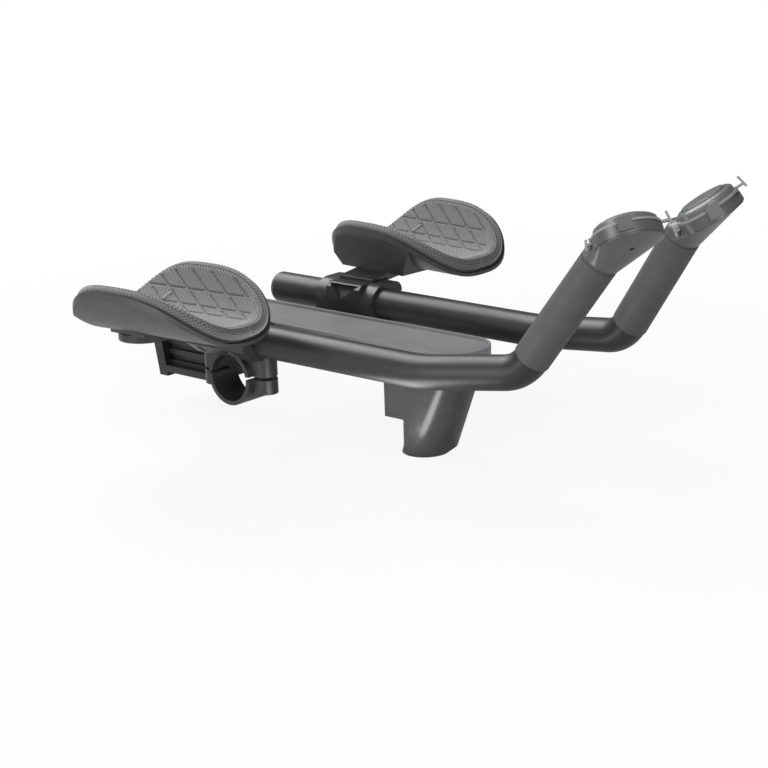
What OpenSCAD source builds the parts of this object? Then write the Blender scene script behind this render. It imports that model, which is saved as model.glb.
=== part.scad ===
// Clip-on aerobar: two bent extension tubes held on a handlebar by two brackets,
// with padded armrests, a centre tray and a push-button puck on each tip.
// +X forward, +Y left, +Z up. The origin is the handlebar axis on the mid-plane.

/* [Handlebar clamp] */
// Diameter of the handlebar that the clamps hold
bar_d = 31.8; // [31.8:0.1:35]
// Distance of each clamp's centre from the mid-plane
clamp_y = 55.5; // [52:0.5:56]
// Width of each clamp along the handlebar
clamp_w = 24; // [20:1:26]
// Wall of the clamp round the handlebar
clamp_wall = 3; // [3:0.1:4]
// Height of the split between the two clamp halves above the handlebar axis
split_z = 2; // [1:0.5:2.5]
// Gap between the two clamp halves
split_gap = 2; // [1:0.5:3]
// Diameter of the clamp bolt bosses
boss_d = 16; // [15:0.5:17]

/* [Extension tubes] */
// Outer diameter of the extension tubes
tube_d = 22.2; // [22.2:0.1:22.4]
// Wall of the extension tubes
tube_wall = 2; // [1.6:0.1:2.4]
// Distance between the two tube axes
tube_spacing = 121; // [118:1:124]
// Metal between the handlebar and the tube
web = 1.5; // [1.5:0.1:3]
// Reach of the tubes behind the handlebar axis
tube_rear = 74; // [60:1:80]
// Reach of the tubes in front of the handlebar axis, up to the first bend
first_bend_x = 166; // [160:1:180]
// Length between the corner points of the two bends
middle_len = 71.4; // [68:0.5:80]
// Rise of the middle stretch, in degrees
middle_rise = 7.2; // [5:0.1:9]
// Turn of the middle stretch towards the mid-plane, in degrees
middle_toe = 6.6; // [4:0.1:8]
// Rise of the hand grip, in degrees
grip_rise = 54.3; // [48:0.1:58]
// Turn of the hand grip towards the mid-plane, in degrees
grip_toe = 10.1; // [6:0.1:12]
// Centre-line radius of the first bend
first_bend_r = 150; // [120:5:180]
// Centre-line radius of the second bend
second_bend_r = 27; // [26:1:34]

/* [Grip sleeves] */
// Thickness of the grip sleeve
sleeve_wall = 0.6; // [0.5:0.1:1.5]
// Length of the grip sleeve
sleeve_len = 78; // [70:1:90]

/* [Armrests] */
// Length of the armrest in front of its middle
rest_front = 73.5; // [70:0.5:78]
// Length of the armrest behind its middle
rest_back = 48.5; // [42:0.5:52]
// Half width of the armrest
rest_half_w = 50.8; // [48:0.2:56]
// Squareness of the armrest's front outline, where 2 is an ellipse
front_square = 2.7; // [2:0.05:3]
// Squareness of the armrest's back outline, where 2 is an ellipse
back_square = 3.1; // [2.4:0.1:3.4]
// Height of the armrest's wings above its middle
wing_h = 31.5; // [26:0.5:34]
// Steepness of the wings, where 2 is a parabola
wing_power = 2.8; // [2.4:0.1:3.4]
// Distance of each armrest's middle from the mid-plane
rest_y = 123.5; // [120:0.5:128]
// Distance of each armrest's middle in front of the handlebar axis
rest_x = -1; // [-4:1:4]
// Outward rise of the armrest, in degrees
rest_roll = 1.6; // [0:0.1:3]
// Turn of the armrest's front towards the mid-plane, in degrees
rest_toe = 5; // [0:0.5:7]
// Thickness of the armrest cup
cup_wall = 2.4; // [2:0.1:3]
// Thickness of the armrest pad
pad_t = 9.5; // [6:0.5:10]
// Thickness of the armrest plate
plate_t = 5; // [4.5:0.5:6]
// Width of the armrest plate
plate_w = 34; // [30:1:36]
// Distance of the armrest plate's end from the mid-plane
plate_reach = 145; // [140:1:148]
// Backward slant of the armrest plate towards its outer end
plate_slant = 14; // [0:1:16]

/* [Controller pucks] */
// Distance of the puck's centre from the second bend's corner, along the grip
puck_along = 113; // [112:0.5:116]
// Distance of the puck's centre in front of the grip's axis
puck_forward = 3.6; // [2:0.1:4]
// Distance of the puck's centre outwards of the grip's axis
puck_out = 1.2; // [0:0.1:2]
// Turn of each puck's strap tabs from straight ahead to the left, in degrees
tab_turn = 39; // [30:1:60]
// Diameter of the puck
puck_d = 37.6; // [37:0.2:39]
// Sideways lean of the puck's face towards the mid-plane, in degrees
puck_lean = 14.5; // [10:0.1:18]
// Backward lean of the puck's face, in degrees
puck_pitch = 28.5; // [22:0.5:30]
// Travel of the push button
button_travel = 0.8; // [0.4:0.1:0.9]

/* [Tray] */
// Half width of the tray
tray_half_w = 24; // [22:0.5:25]
// Height of the tray's rim above the tube axes
tray_rise = 1; // [0:0.5:2]
// Height of the tray's side wall
tray_h = 8; // [7:0.5:8.5]
// Reach of the tray behind the handlebar axis
tray_rear = 136; // [130:1:140]
// Reach of the tray in front of the handlebar axis
tray_front = 165; // [160:1:168]

/* [Nose housing] */
// Half width of the nose housing
nose_half_w = 18; // [16:0.5:19]
// Depth of the nose housing's bottom below the tube axes
nose_depth = 76; // [72:1:80]
// Distance of the nose housing's back from the handlebar axis
nose_back = 95; // [92:1:98]
// Distance of the step in the nose housing's back from the handlebar axis
nose_step_x = 111; // [108:1:114]

/* [Rear block] */
// Half width of the rear block
block_half_w = 20; // [18:0.5:20.5]
// Depth of the rear block's bottom below the tube axes
block_depth = 56; // [52:1:60]
// Number of grooves on each side of the rear block
groove_count = 5; // [3:1:5]

/* [Hidden] */
$fn = 64;
eps = 0.01;
tube_black = "#242527";
forged_black = "#2b2c2e";
plastic_black = "#303133";
rubber_grey = "#2e2f31";
foam_grey = "#3b3c3e";
tray_grey = "#6c6d6f";
steel_black = "#1f2022";
steel_grey = "#a8abad";
board_green = "#1f5c3a";
bar_r = bar_d / 2;
tube_r = tube_d / 2;
bore_r = tube_r - tube_wall;
tube_y = tube_spacing / 2;
tube_z = bar_r + web + tube_r;
bore_fit = 0.03;
plug_cap = 4;
plug_round = 3;

function unit(v) = v / norm(v);
function aim(rise, toe) = [cos(rise) * cos(toe), -cos(rise) * sin(toe), sin(rise)];
function turn(a, b) = acos(unit(a) * unit(b));

rear_dir = [1, 0, 0];
middle_dir = aim(middle_rise, middle_toe);
grip_dir = aim(grip_rise, grip_toe);
corner_1 = [first_bend_x, tube_y, tube_z];
corner_2 = corner_1 + middle_len * middle_dir;
tangent_1 = first_bend_r * tan(turn(rear_dir, middle_dir) / 2);
tangent_2 = second_bend_r * tan(turn(middle_dir, grip_dir) / 2);
tube_start = [-tube_rear + plug_cap, tube_y, tube_z];
sleeve_start = tangent_2 + 0.2;
tube_end_along = sleeve_start + sleeve_len;
tube_end = corner_2 + tube_end_along * grip_dir;
puck_centre = corner_2 + puck_along * grip_dir + [puck_forward, puck_out, 1];

// Bracket round the tube and over the handlebar
bracket_wall = 2.8;
bracket_back = -26;
bracket_front = 28;
bracket_len = bracket_front - bracket_back;
bracket_outer = 19.5;
bracket_round = 7;
bracket_top = tube_z + tube_r + bracket_wall;
shoulder_back = -14;
shoulder_front = 17;
shoulder_inner = 15;
bracket_low = tube_z - 13;
clamp_r = bar_r + clamp_wall;
bolt_x = bar_r + boss_d / 2 - 0.5;
bolt_d = 5;
bolt_head_d = 8.5;
bolt_head_h = 5;
boss_depth = 10;
pinch_d = 4;
pinch_head_d = 7;
pinch_head_h = 4;
pinch_xs = [-17, 13];
pinch_y = tube_y + tube_r + 3;
pinch_seat = tube_z - 4;
slot_h = 2;
slot_z = tube_z + 5;
pocket_x = 1;
pocket_low = tube_z + 3.5;
lug_inner_y = 15;
lug_t = 4;
lug_half_len = 19;

// Armrest
plate_inner_x = 1;
plate_inner_y = tube_y - 0.5;
plate_end_y = plate_reach - plate_w / 2;
plate_outer_x = plate_inner_x - plate_slant;
plate_lap = 2.3;
plate_top = bracket_top + plate_lap;
plate_screw_y = tube_y + 6.5;
rest_z = plate_top + cup_wall;
pad_gap = 0.2;
pad_insets = [0.4, 0, 0.6, 2.4];
pad_layers = len(pad_insets);
rest_bolt_ys = [104, 130];
plate_screw_xs = [-8, 8];
plate_screw_sink = 1.3;

// Puck, measured from its own centre
puck_r = puck_d / 2;
puck_bottom = -4.5;
puck_top = 4.6;
shell_wall = 1.4;
shell_roof = 1.7;
bowl_r = puck_r + 2;
bowl_bottom = -9;
bowl_rim = -1.6;
front_gap = 1.7;
bowl_fit = 0.15;
cell_h = 2.5;
cell_r = 10;
board_t = 1;
button_r = 14.6;
button_fit = 0.25;
flange_t = 1;
flange_w = 1.6;
button_rise = 1.2;
board_z = puck_bottom + shell_wall + cell_h;
flange_z = puck_top - shell_roof - flange_t - 0.05;
strap_h = 1.6;
strap_seat = 0.05;
strap_tail_w = 3.6;
rear_bar = 6.5;
rear_bar_z = -3.3;
keeper_w = 8.4;
keeper_hook_t = 1.2;
grub_turn = 72;
grub_share = 0.55;

// Tray
tray_top = tube_z + tray_rise;
tray_bottom = tray_top - tray_h;
tray_skin_t = 2;
tray_rim_h = 2;
tray_rim_w = 1.8;
foot_in = 40;
foot_out = 12;
foot_rim = 48;
foot_back = 28;
foot_front = 32;
cup_rake = 14;
cup_rake_top = 24;
tray_wall = 2.4;
tray_skin_z = tray_top - tray_rim_h - tray_skin_t;
tray_screw_xs = [-13, 13];
tray_screw_y = 18.5;
block_screw_xs = [-112, -82];
nose_wall = 2.2;
nose_bottom = tube_z - nose_depth;
nose_top_centre = 144.5;
nose_slope = 0.4;
nose_step_z = tube_z - 51;
block_back = -131;
block_front = -64;
block_lean = 10;
block_bottom = tube_z - block_depth;
block_ledge_z = tube_z - 48;

// Puts the left-hand piece on the other side of the mid-plane
module other_side() {
    mirror([0, 1, 0]) children();
}

// Both hands of a piece that comes in identical pairs
module both_sides() {
    children();
    other_side() children();
}

// Stands the children's +Z along a direction from a point
module along(p, d) {
    u = unit(d);
    translate(p) rotate([0, acos(u[2]), atan2(u[1], u[0])]) children();
}

// A round rod between two points
module rod(a, b, r) {
    along(a, b - a) cylinder(h = norm(b - a), r = r);
}

// A quarter-like bend of round section that starts at p along da and ends along db
module bend(p, da, db, bend_r, r) {
    angle = turn(da, db);
    n = unit(db - da * cos(angle));
    c = p + bend_r * n;
    z = cross(-n, da);
    multmatrix([
        [-n[0], da[0], z[0], c[0]],
        [-n[1], da[1], z[1], c[1]],
        [-n[2], da[2], z[2], c[2]],
        [0, 0, 0, 1]
    ])
        rotate_extrude(angle = angle, $fn = 96) translate([bend_r, 0]) circle(r = r);
}

// The whole run of the extension tube with a given radius. Each straight reaches a
// little way into its bends, which are a trace thicker so that no two faces coincide.
module tube_run(r, extra = 0) {
    into = 0.6;
    bend_r = r + 0.06;
    rod(tube_start - extra * rear_dir, corner_1 - (tangent_1 - into) * rear_dir, r);
    bend(corner_1 - tangent_1 * rear_dir, rear_dir, middle_dir, first_bend_r, bend_r);
    rod(corner_1 + (tangent_1 - into) * middle_dir, corner_2 - (tangent_2 - into) * middle_dir, r);
    bend(corner_2 - tangent_2 * middle_dir, middle_dir, grip_dir, second_bend_r, bend_r);
    rod(corner_2 + (tangent_2 - into) * grip_dir, tube_end + extra * grip_dir, r);
}

module extension_tube() {
    difference() {
        tube_run(tube_r);
        tube_run(bore_r, 1);
    }
}

module grip_sleeve() {
    from = corner_2 + sleeve_start * grip_dir;
    difference() {
        rod(from, tube_end, tube_r + sleeve_wall);
        rod(from - grip_dir, tube_end + grip_dir, tube_r + bore_fit);
    }
}

// Rear plug with a rounded cap and a spigot in the tube
module end_plug() {
    spigot = 14;
    along(tube_start, -rear_dir)
        rotate_extrude()
            polygon(concat(
                [[0, -spigot], [bore_r - 0.6, -spigot], [bore_r - bore_fit, -spigot + 2]],
                [[bore_r - bore_fit, 0], [tube_r, 0]],
                [for (a = [0:15:90]) [
                    tube_r - plug_round + plug_round * cos(a),
                    plug_cap - plug_round + plug_round * sin(a)
                ]],
                [[0, plug_cap]]
            ));
}

// A screw with a round socket head, its tip at the origin and its head up
module socket_screw(d, len, head_d, head_h, key) {
    difference() {
        union() {
            cylinder(h = len, r = d / 2, $fn = 32);
            translate([0, 0, len]) cylinder(h = head_h, r = head_d / 2, $fn = 48);
        }
        translate([0, 0, len + head_h * 0.4]) cylinder(h = head_h, r = key / 2, $fn = 6);
    }
}

// Handlebar passage through a clamp
module bar_passage(r) {
    translate([0, clamp_y, 0]) rotate([90, 0, 0]) cylinder(h = clamp_w + 60, r = r, center = true);
}

// Clamp ring blank over the handlebar
module clamp_ring() {
    translate([0, clamp_y, 0]) rotate([90, 0, 0]) cylinder(h = clamp_w, r = clamp_r, center = true);
}

// The round boss that a clamp bolt passes through
module bolt_boss(x, from, to) {
    translate([x, clamp_y, from]) cylinder(h = to - from, r = boss_d / 2);
    web_x = abs(x) - bar_r + 2;
    translate([x > 0 ? bar_r - 2 : -bar_r + 2 - web_x, clamp_y - boss_d / 2, from])
        cube([web_x, boss_d, to - from]);
}

// Points of a quarter arc about c, from one angle to another
function arc(c, r, from, to) = [for (i = [0:6]) c + r * [
    cos(from + (to - from) * i / 6), sin(from + (to - from) * i / 6)
]];

// Section of the bracket's barrel across the tube, with a flat seat for the plate
module barrel_section() {
    outer = tube_y + bracket_outer;
    translate([tube_y, tube_z]) circle(r = bracket_top - tube_z - 0.1);
    polygon(concat(
        [[tube_y - 8, tube_z], [tube_y - 1, bracket_top]],
        arc([outer - bracket_round, bracket_top - bracket_round], bracket_round, 90, 0),
        [[outer, tube_z - 5], [tube_y + 9, bracket_low], [tube_y - 9, bracket_low]]
    ));
}

// Section of the shoulder that widens the seat towards the mid-plane
module shoulder_section() {
    inner = tube_y - shoulder_inner;
    polygon([
        [inner, pocket_low - 2], [inner + 1, bracket_top - 3], [inner + 4, bracket_top],
        [tube_y + 2, bracket_top], [tube_y, tube_z], [inner + 2, tube_z - 4]
    ]);
}

// Side outline of the saddle and bolt bosses, looking along the handlebar
module saddle_side() {
    foot = bolt_x;
    low = split_z + split_gap / 2;
    polygon([
        [-foot, low], [-foot, 9], [bracket_back, bracket_low + 2], [bracket_back, tube_z - 6],
        [bracket_front, tube_z - 6], [foot, bracket_low - 2], [foot, low]
    ]);
}

module tube_bracket() {
    low = split_z + split_gap / 2;
    difference() {
        union() {
            translate([bracket_back, 0, 0]) rotate([90, 0, 90])
                linear_extrude(height = bracket_len) barrel_section();
            translate([shoulder_back, 0, 0]) rotate([90, 0, 90])
                linear_extrude(height = shoulder_front - shoulder_back) shoulder_section();
            for (x = [-bolt_x, bolt_x]) bolt_boss(x, low, bracket_low + 1);
            // Saddle over the handlebar, and the bolt bosses
            intersection() {
                translate([0, clamp_y + boss_d / 2, 0]) rotate([90, 0, 0])
                    linear_extrude(height = boss_d) saddle_side();
                translate([-60, 0, low]) cube([120, 100, 60]);
            }
            intersection() {
                clamp_ring();
                translate([-30, 0, low]) cube([60, 100, 60]);
            }
            // Lug that carries the tray
            translate([-lug_half_len, lug_inner_y, tray_bottom - lug_t])
                cube([2 * lug_half_len, clamp_y - lug_inner_y, lug_t]);
        }
        bar_passage(bar_r);
        translate([bracket_back - 1, tube_y, tube_z]) rotate([0, 90, 0])
            cylinder(h = bracket_len + 2, r = tube_r + bore_fit);
        // Pinch slot on the outer side, with its bolts from below
        translate([bracket_back - 1, tube_y + tube_r - 3, slot_z - slot_h / 2])
            cube([bracket_len + 2, bracket_outer, slot_h]);
        for (x = pinch_xs) {
            translate([x, pinch_y, pinch_seat - 1]) cylinder(h = 14, r = pinch_d / 2 + 0.1, $fn = 32);
            translate([x, pinch_y, 0]) cylinder(h = pinch_seat, r = pinch_head_d / 2 + 0.3);
        }
        lightening_pocket();
        // Clamp bolt threads
        for (x = [-bolt_x, bolt_x])
            translate([x, clamp_y, 0]) cylinder(h = 11, r = bolt_d / 2, $fn = 32);
        // Tray screw holes
        for (x = tray_screw_xs)
            translate([x, tray_screw_y, 0]) cylinder(h = 40, r = 1.9, $fn = 32);
        // Plate screw threads
        for (x = plate_screw_xs)
            translate([x, plate_screw_y, bracket_top - 4.4]) cylinder(h = 20, r = 1.5, $fn = 32);
    }
}

// Three-cornered pocket in the shoulder, with a sloping back
module lightening_pocket() {
    inner = tube_y - shoulder_inner;
    translate([pocket_x, inner, 0]) intersection() {
        rotate([90, 0, 0]) translate([0, 0, -12]) linear_extrude(height = 14)
            polygon([[0, pocket_low], [14, bracket_top - 0.8], [-13, bracket_top - 0.8], [-2, pocket_low]]);
        rotate([90, 0, 90]) translate([0, 0, -30]) linear_extrude(height = 60)
            polygon([
                [-2, pocket_low - 3], [0.4, pocket_low - 3],
                [9.5, bracket_top], [-2, bracket_top]
            ]);
    }
}

module lower_clamp() {
    top = split_z - split_gap / 2;
    difference() {
        union() {
            intersection() {
                clamp_ring();
                translate([-30, 0, -60]) cube([60, 100, 60 + top]);
            }
            for (x = [-bolt_x, bolt_x]) bolt_boss(x, top - boss_depth, top);
        }
        bar_passage(bar_r);
        for (x = [-bolt_x, bolt_x]) {
            translate([x, clamp_y, -30]) cylinder(h = 40, r = bolt_d / 2 + 0.2, $fn = 32);
            translate([x, clamp_y, -30])
                cylinder(h = 30 + top - boss_depth + 4, r = bolt_head_d / 2 + 0.2);
        }
    }
}

// X of the slanted armrest plate's middle at a distance y from the mid-plane
function plate_mid_x(y) =
    plate_inner_x + (plate_outer_x - plate_inner_x) * (y - plate_inner_y) / (plate_end_y - plate_inner_y);

module armrest_plate() {
    half = plate_w / 2;
    difference() {
        translate([0, 0, plate_top - plate_t]) linear_extrude(height = plate_t) {
            polygon([
                [plate_inner_x - half + 3, plate_inner_y], [plate_inner_x + half, plate_inner_y],
                [plate_outer_x + half, plate_end_y], [plate_outer_x - half, plate_end_y]
            ]);
            translate([plate_outer_x, plate_end_y]) circle(r = half);
        }
        // Step that laps the plate over the bracket's seat
        translate([-60, plate_inner_y - 1, bracket_top - 10])
            cube([120, tube_y + bracket_outer + 0.3 - plate_inner_y + 1, 10]);
        for (y = rest_bolt_ys)
            translate([plate_mid_x(y), y, 0]) cylinder(h = 90, r = bolt_d / 2, $fn = 32);
        for (x = plate_screw_xs) {
            translate([x, plate_screw_y, 0]) cylinder(h = 90, r = 1.7, $fn = 32);
            translate([x, plate_screw_y, plate_top - plate_screw_sink])
                cylinder(h = 5, r = 3.2, $fn = 32);
        }
    }
}

// Height of the trough's surface above its middle at a distance v from it
function wing(v) = wing_h * pow(abs(v) / rest_half_w, wing_power);
function wing_slope(v) =
    sign(v) * wing_h * wing_power / rest_half_w * pow(abs(v) / rest_half_w, wing_power - 1);
// A point of the trough's section, moved off the surface by a normal distance
function section_point(v, off) =
    let (s = wing_slope(v), l = sqrt(1 + s * s)) [v - off * s / l, wing(v) + off / l];
function section_steps(reach) = [for (i = [0:36]) -reach + 2 * reach * i / 36];
// A point of the armrest's outline at angle a, drawn in by an inset and moved with
// the surface that lies off the trough by a normal distance
function outline_point(a, inset, off) =
    let (
        len = cos(a) > 0 ? rest_front : rest_back,
        square = cos(a) > 0 ? front_square : back_square,
        v = rest_half_w * sign(sin(a)) * pow(abs(sin(a)), 2 / square)
    ) [
        (len - inset) * sign(cos(a)) * pow(abs(cos(a)), 2 / square),
        section_point(v, off)[0] * (1 - inset / rest_half_w)
    ];

// The armrest's frame: its middle on the plate, rolled and toed
module at_armrest() {
    translate([rest_x, rest_y, rest_z]) rotate([rest_roll, 0, -rest_toe]) children();
}

// A layer of the trough between two distances off its surface, cut to an inset outline
module trough_layer(low, high, inset) {
    steps = section_steps(rest_half_w + 12);
    count = len(steps);
    intersection() {
        rotate([90, 0, 90]) translate([0, 0, -rest_back - 5])
            linear_extrude(height = rest_back + rest_front + 10)
                polygon(concat(
                    [for (v = steps) section_point(v, low)],
                    [for (i = [count - 1:-1:0]) section_point(steps[i], high)]
                ));
        translate([0, 0, -40]) linear_extrude(height = 160)
            polygon([for (a = [0:5:355]) outline_point(a, inset, max(high, 0))]);
    }
}

// Boat-shaped underbody of the cup: a steep inner flank and ends that rake in to the foot
module cup_underbody() {
    reach = foot_rim + foot_out;
    intersection() {
        rotate([90, 0, 90]) translate([0, 0, -rest_back])
            linear_extrude(height = rest_back + rest_front)
                polygon(concat(
                    [for (i = [0:20]) section_point(foot_out - reach * i / 20, -cup_wall / 2)],
                    [[-foot_in, -cup_wall], [foot_out, -cup_wall]]
                ));
        rotate([90, 0, 0]) translate([0, 0, -rest_half_w])
            linear_extrude(height = 2 * rest_half_w)
                polygon([
                    [-rest_back, wing_h], [-foot_back, -cup_wall - 1],
                    [foot_front, -cup_wall - 1], [foot_front + 22, wing_h]
                ]);
        translate([0, 0, -40]) linear_extrude(height = 160)
            polygon([for (a = [0:5:355]) outline_point(a, 0.5, 0)]);
    }
}

module armrest_cup() {
    difference() {
        union() {
            at_armrest() trough_layer(-cup_wall, 0, 0);
            at_armrest() cup_underbody();
            // Flat foot that seats the tilted cup on the plate
            translate([plate_mid_x(rest_y) - 16, rest_y - 26, plate_top]) cube([32, 46, cup_wall]);
        }
        // Raked rear end, which leaves the pad's edge free
        at_armrest() rotate([90, 0, 0]) translate([0, 0, -rest_half_w - 5])
            linear_extrude(height = 2 * rest_half_w + 10)
                polygon([
                    [-rest_back, cup_rake_top], [-rest_back + cup_rake, -cup_wall - 1],
                    [-rest_back + cup_rake, -30], [-rest_back - 20, -30], [-rest_back - 20, cup_rake_top]
                ]);
        translate([-60, 60, plate_top - 20]) cube([120, 120, 20]);
        for (y = rest_bolt_ys)
            translate([plate_mid_x(y), y, 0]) {
                cylinder(h = 90, r = bolt_d / 2 + 0.2, $fn = 32);
                translate([0, 0, plate_top + cup_wall]) cylinder(h = 9, r = 4.8, $fn = 32);
            }
    }
}

module armrest_pad() {
    difference() {
        at_armrest() {
            for (i = [0:pad_layers - 1])
                trough_layer(i == 0 ? pad_gap : pad_t * i / pad_layers, pad_t * (i + 1) / pad_layers,
                    pad_insets[i]);
        }
        for (y = rest_bolt_ys)
            translate([plate_mid_x(y), y, plate_top]) cylinder(h = cup_wall + 3.2, r = 5.2, $fn = 32);
        translate([plate_mid_x(rest_y) - 17, rest_y - 27, plate_top])
            cube([34, 48, cup_wall + pad_gap]);
    }
}

// The puck's own frame: its centre, with +Z out of its face
module at_puck() {
    translate(puck_centre) rotate([puck_lean, -puck_pitch, 0]) children();
}

module pod_base(tabs) {
    difference() {
        union() {
            difference() {
                pod_body(tube_r + sleeve_wall);
                at_puck() {
                    // Seat of the strap's ring
                    translate([0, 0, bowl_rim]) cylinder(h = 12, r = bowl_r - 0.1);
                    // Low front edge between the front tab and the front keeper
                    translate([0, 0, bowl_rim - front_gap]) linear_extrude(height = 12)
                        polygon([[0, 0], [40, -34], [40, 34]]);
                    // Notch in the neck for the strap's rear tab
                    rotate([0, 0, tabs])
                        translate([-bowl_r - 9, -strap_tail_w / 2 - 0.3, rear_bar_z - rear_bar / 2 - 0.5])
                            cube([9 - eps, strap_tail_w + 0.6, 20]);
                }
            }
            at_puck() rotate([0, 0, tabs]) for (s = [-1, 1]) keeper(s);
        }
        at_puck() translate([0, 0, puck_bottom]) cylinder(h = 12, r = puck_r + bowl_fit);
        at_grub() translate([0, 0, -7]) cylinder(h = 12, r = 1.5, $fn = 32);
    }
}

// The bowl under the puck, blended down to the grip, and its spigot in the tube
module pod_body(neck_r) {
    hull() {
        rod(tube_end, tube_end + 3 * grip_dir, neck_r);
        at_puck() translate([0, 0, bowl_bottom]) cylinder(h = 1, r = bowl_r - 0.8, $fn = 40);
    }
    rod(tube_end - 26 * grip_dir, tube_end + grip_dir, bore_r - bore_fit);
    at_puck() translate([0, 0, bowl_bottom + 0.8])
        cylinder(h = bowl_rim - bowl_bottom - 0.8, r = bowl_r);
}

// Square keeper that hooks over the retaining strap
module keeper(s) {
    out = bowl_r + 1.4;
    low = -6.6;
    hook = bowl_rim + strap_h + 0.1;
    // Root in the bowl, upright outside the strap, and hook over it
    translate([-keeper_w / 2, s > 0 ? bowl_r - 1 : -out, low])
        cube([keeper_w, out - bowl_r + 1, bowl_rim - low]);
    translate([-keeper_w / 2, s > 0 ? bowl_r : -out, low])
        cube([keeper_w, out - bowl_r, hook + keeper_hook_t - low]);
    translate([-keeper_w / 2, s > 0 ? puck_r + 0.4 : -out, hook])
        cube([keeper_w, out - puck_r - 0.4, keeper_hook_t]);
}

// A point of the puck's own frame, placed in the part
function puck_point(p) =
    let (
        y = p[1] * cos(puck_lean) - p[2] * sin(puck_lean),
        z = p[1] * sin(puck_lean) + p[2] * cos(puck_lean)
    ) puck_centre + [
        p[0] * cos(puck_pitch) - z * sin(puck_pitch), y, p[0] * sin(puck_pitch) + z * cos(puck_pitch)
    ];

// Frame of the grub screw, whose +Z leaves the pod's outer front flank
module at_grub() {
    side = unit([0, 1, 0] - grip_dir * grip_dir[1]);
    out = cos(grub_turn) * side + sin(grub_turn) * cross(side, grip_dir);
    neck_point = tube_end + 3 * grip_dir + (tube_r + sleeve_wall) * out;
    bowl_point = puck_point([
        (bowl_r - 0.8) * sin(grub_turn), (bowl_r - 0.8) * cos(grub_turn), bowl_bottom
    ]);
    along(neck_point * (1 - grub_share) + bowl_point * grub_share, out) children();
}

module one_grub_screw() {
    difference() {
        at_grub() translate([0, 0, -6.5]) cylinder(h = 5.5, r = 1.45, $fn = 32);
        at_grub() translate([0, 0, -2.5]) cylinder(h = 3, r = 0.75, $fn = 6);
    }
}

module puck_shell() {
    at_puck() difference() {
        rotate_extrude()
            polygon([
                [0, puck_bottom], [puck_r - 1, puck_bottom], [puck_r, puck_bottom + 1],
                [puck_r, puck_top - 1.6], [puck_r - 1.8, puck_top - 0.3], [puck_r - 3.6, puck_top],
                [0, puck_top]
            ]);
        translate([0, 0, puck_top - 3]) cylinder(h = 6, r = button_r + button_fit);
        translate([0, 0, board_z + board_t])
            cylinder(h = puck_top - shell_roof - board_z - board_t, r = button_r + flange_w + 0.3);
        translate([0, 0, board_z]) cylinder(h = board_t + 0.5, r = button_r + flange_w + 0.3);
        translate([0, 0, puck_bottom + shell_wall]) cylinder(h = cell_h + 0.5, r = cell_r + 0.1);
    }
}

module coin_cell() {
    at_puck() translate([0, 0, puck_bottom + shell_wall]) cylinder(h = cell_h, r = cell_r);
}

// Round board with the switch dome in its middle
module puck_board() {
    at_puck() {
        translate([0, 0, board_z]) cylinder(h = board_t, r = button_r + flange_w + 0.2);
        translate([0, 0, board_z + board_t - eps])
            cylinder(h = flange_z - board_z - board_t - button_travel - 0.05, r = 3);
    }
}

module puck_button() {
    face_z = puck_top + button_rise;
    at_puck() rotate_extrude()
        polygon([
            [0, flange_z], [button_r + flange_w, flange_z], [button_r + flange_w, flange_z + flange_t],
            [button_r, flange_z + flange_t], [button_r, face_z - 0.8], [button_r - 0.8, face_z - 0.1],
            [button_r - 3, face_z], [0, face_z]
        ]);
}

// Rubber ring round the puck with a T-shaped tab in front and behind
module retaining_strap(tabs) {
    tail_t = 1;
    stem_t = 1.4;
    at_puck() rotate([0, 0, tabs]) {
        difference() {
            translate([0, 0, bowl_rim + strap_seat]) cylinder(h = strap_h - strap_seat, r = bowl_r - 0.3);
            translate([0, 0, bowl_rim - 1]) cylinder(h = strap_h + 2, r = puck_r + 0.1);
        }
        strap_tab(0, 4, bowl_rim + 0.2, stem_t, 8, 0.7);
        strap_tab(180, 3, rear_bar_z - stem_t / 2, stem_t, rear_bar, rear_bar_z);
        // Tail that runs down the back of the bowl to the rear tab
        translate([-bowl_r - tail_t - 0.2, -strap_tail_w / 2, rear_bar_z - stem_t / 2])
            cube([tail_t, strap_tail_w, bowl_rim + strap_h - rear_bar_z + stem_t / 2]);
        translate([-bowl_r - tail_t - 0.2, -strap_tail_w / 2, bowl_rim + 0.1])
            cube([tail_t + 2.2, strap_tail_w, strap_h - 0.1]);
    }
}

// T-shaped tab: a stem out of the strap and an upright bar at its end
module strap_tab(heading, stem, low, t, bar, bar_z) {
    root = heading == 180 ? -0.5 : 1.2;
    rotate([0, 0, heading]) {
        translate([bowl_r - root, -t, low]) cube([stem + root, 2 * t, t]);
        translate([bowl_r + stem - 0.4, 0, bar_z]) rotate([0, -12, 0])
            translate([0, -t / 2, -bar / 2]) cube([t, t, bar]);
    }
}

// Plan of the tray, drawn in by an inset
module tray_plan(inset) {
    r = tray_half_w;
    front = tray_front - r;
    translate([-tray_rear + inset, -r + inset]) square([front + tray_rear - inset, 2 * (r - inset)]);
    translate([front, 0]) circle(r = r - inset, $fn = 96);
}

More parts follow.
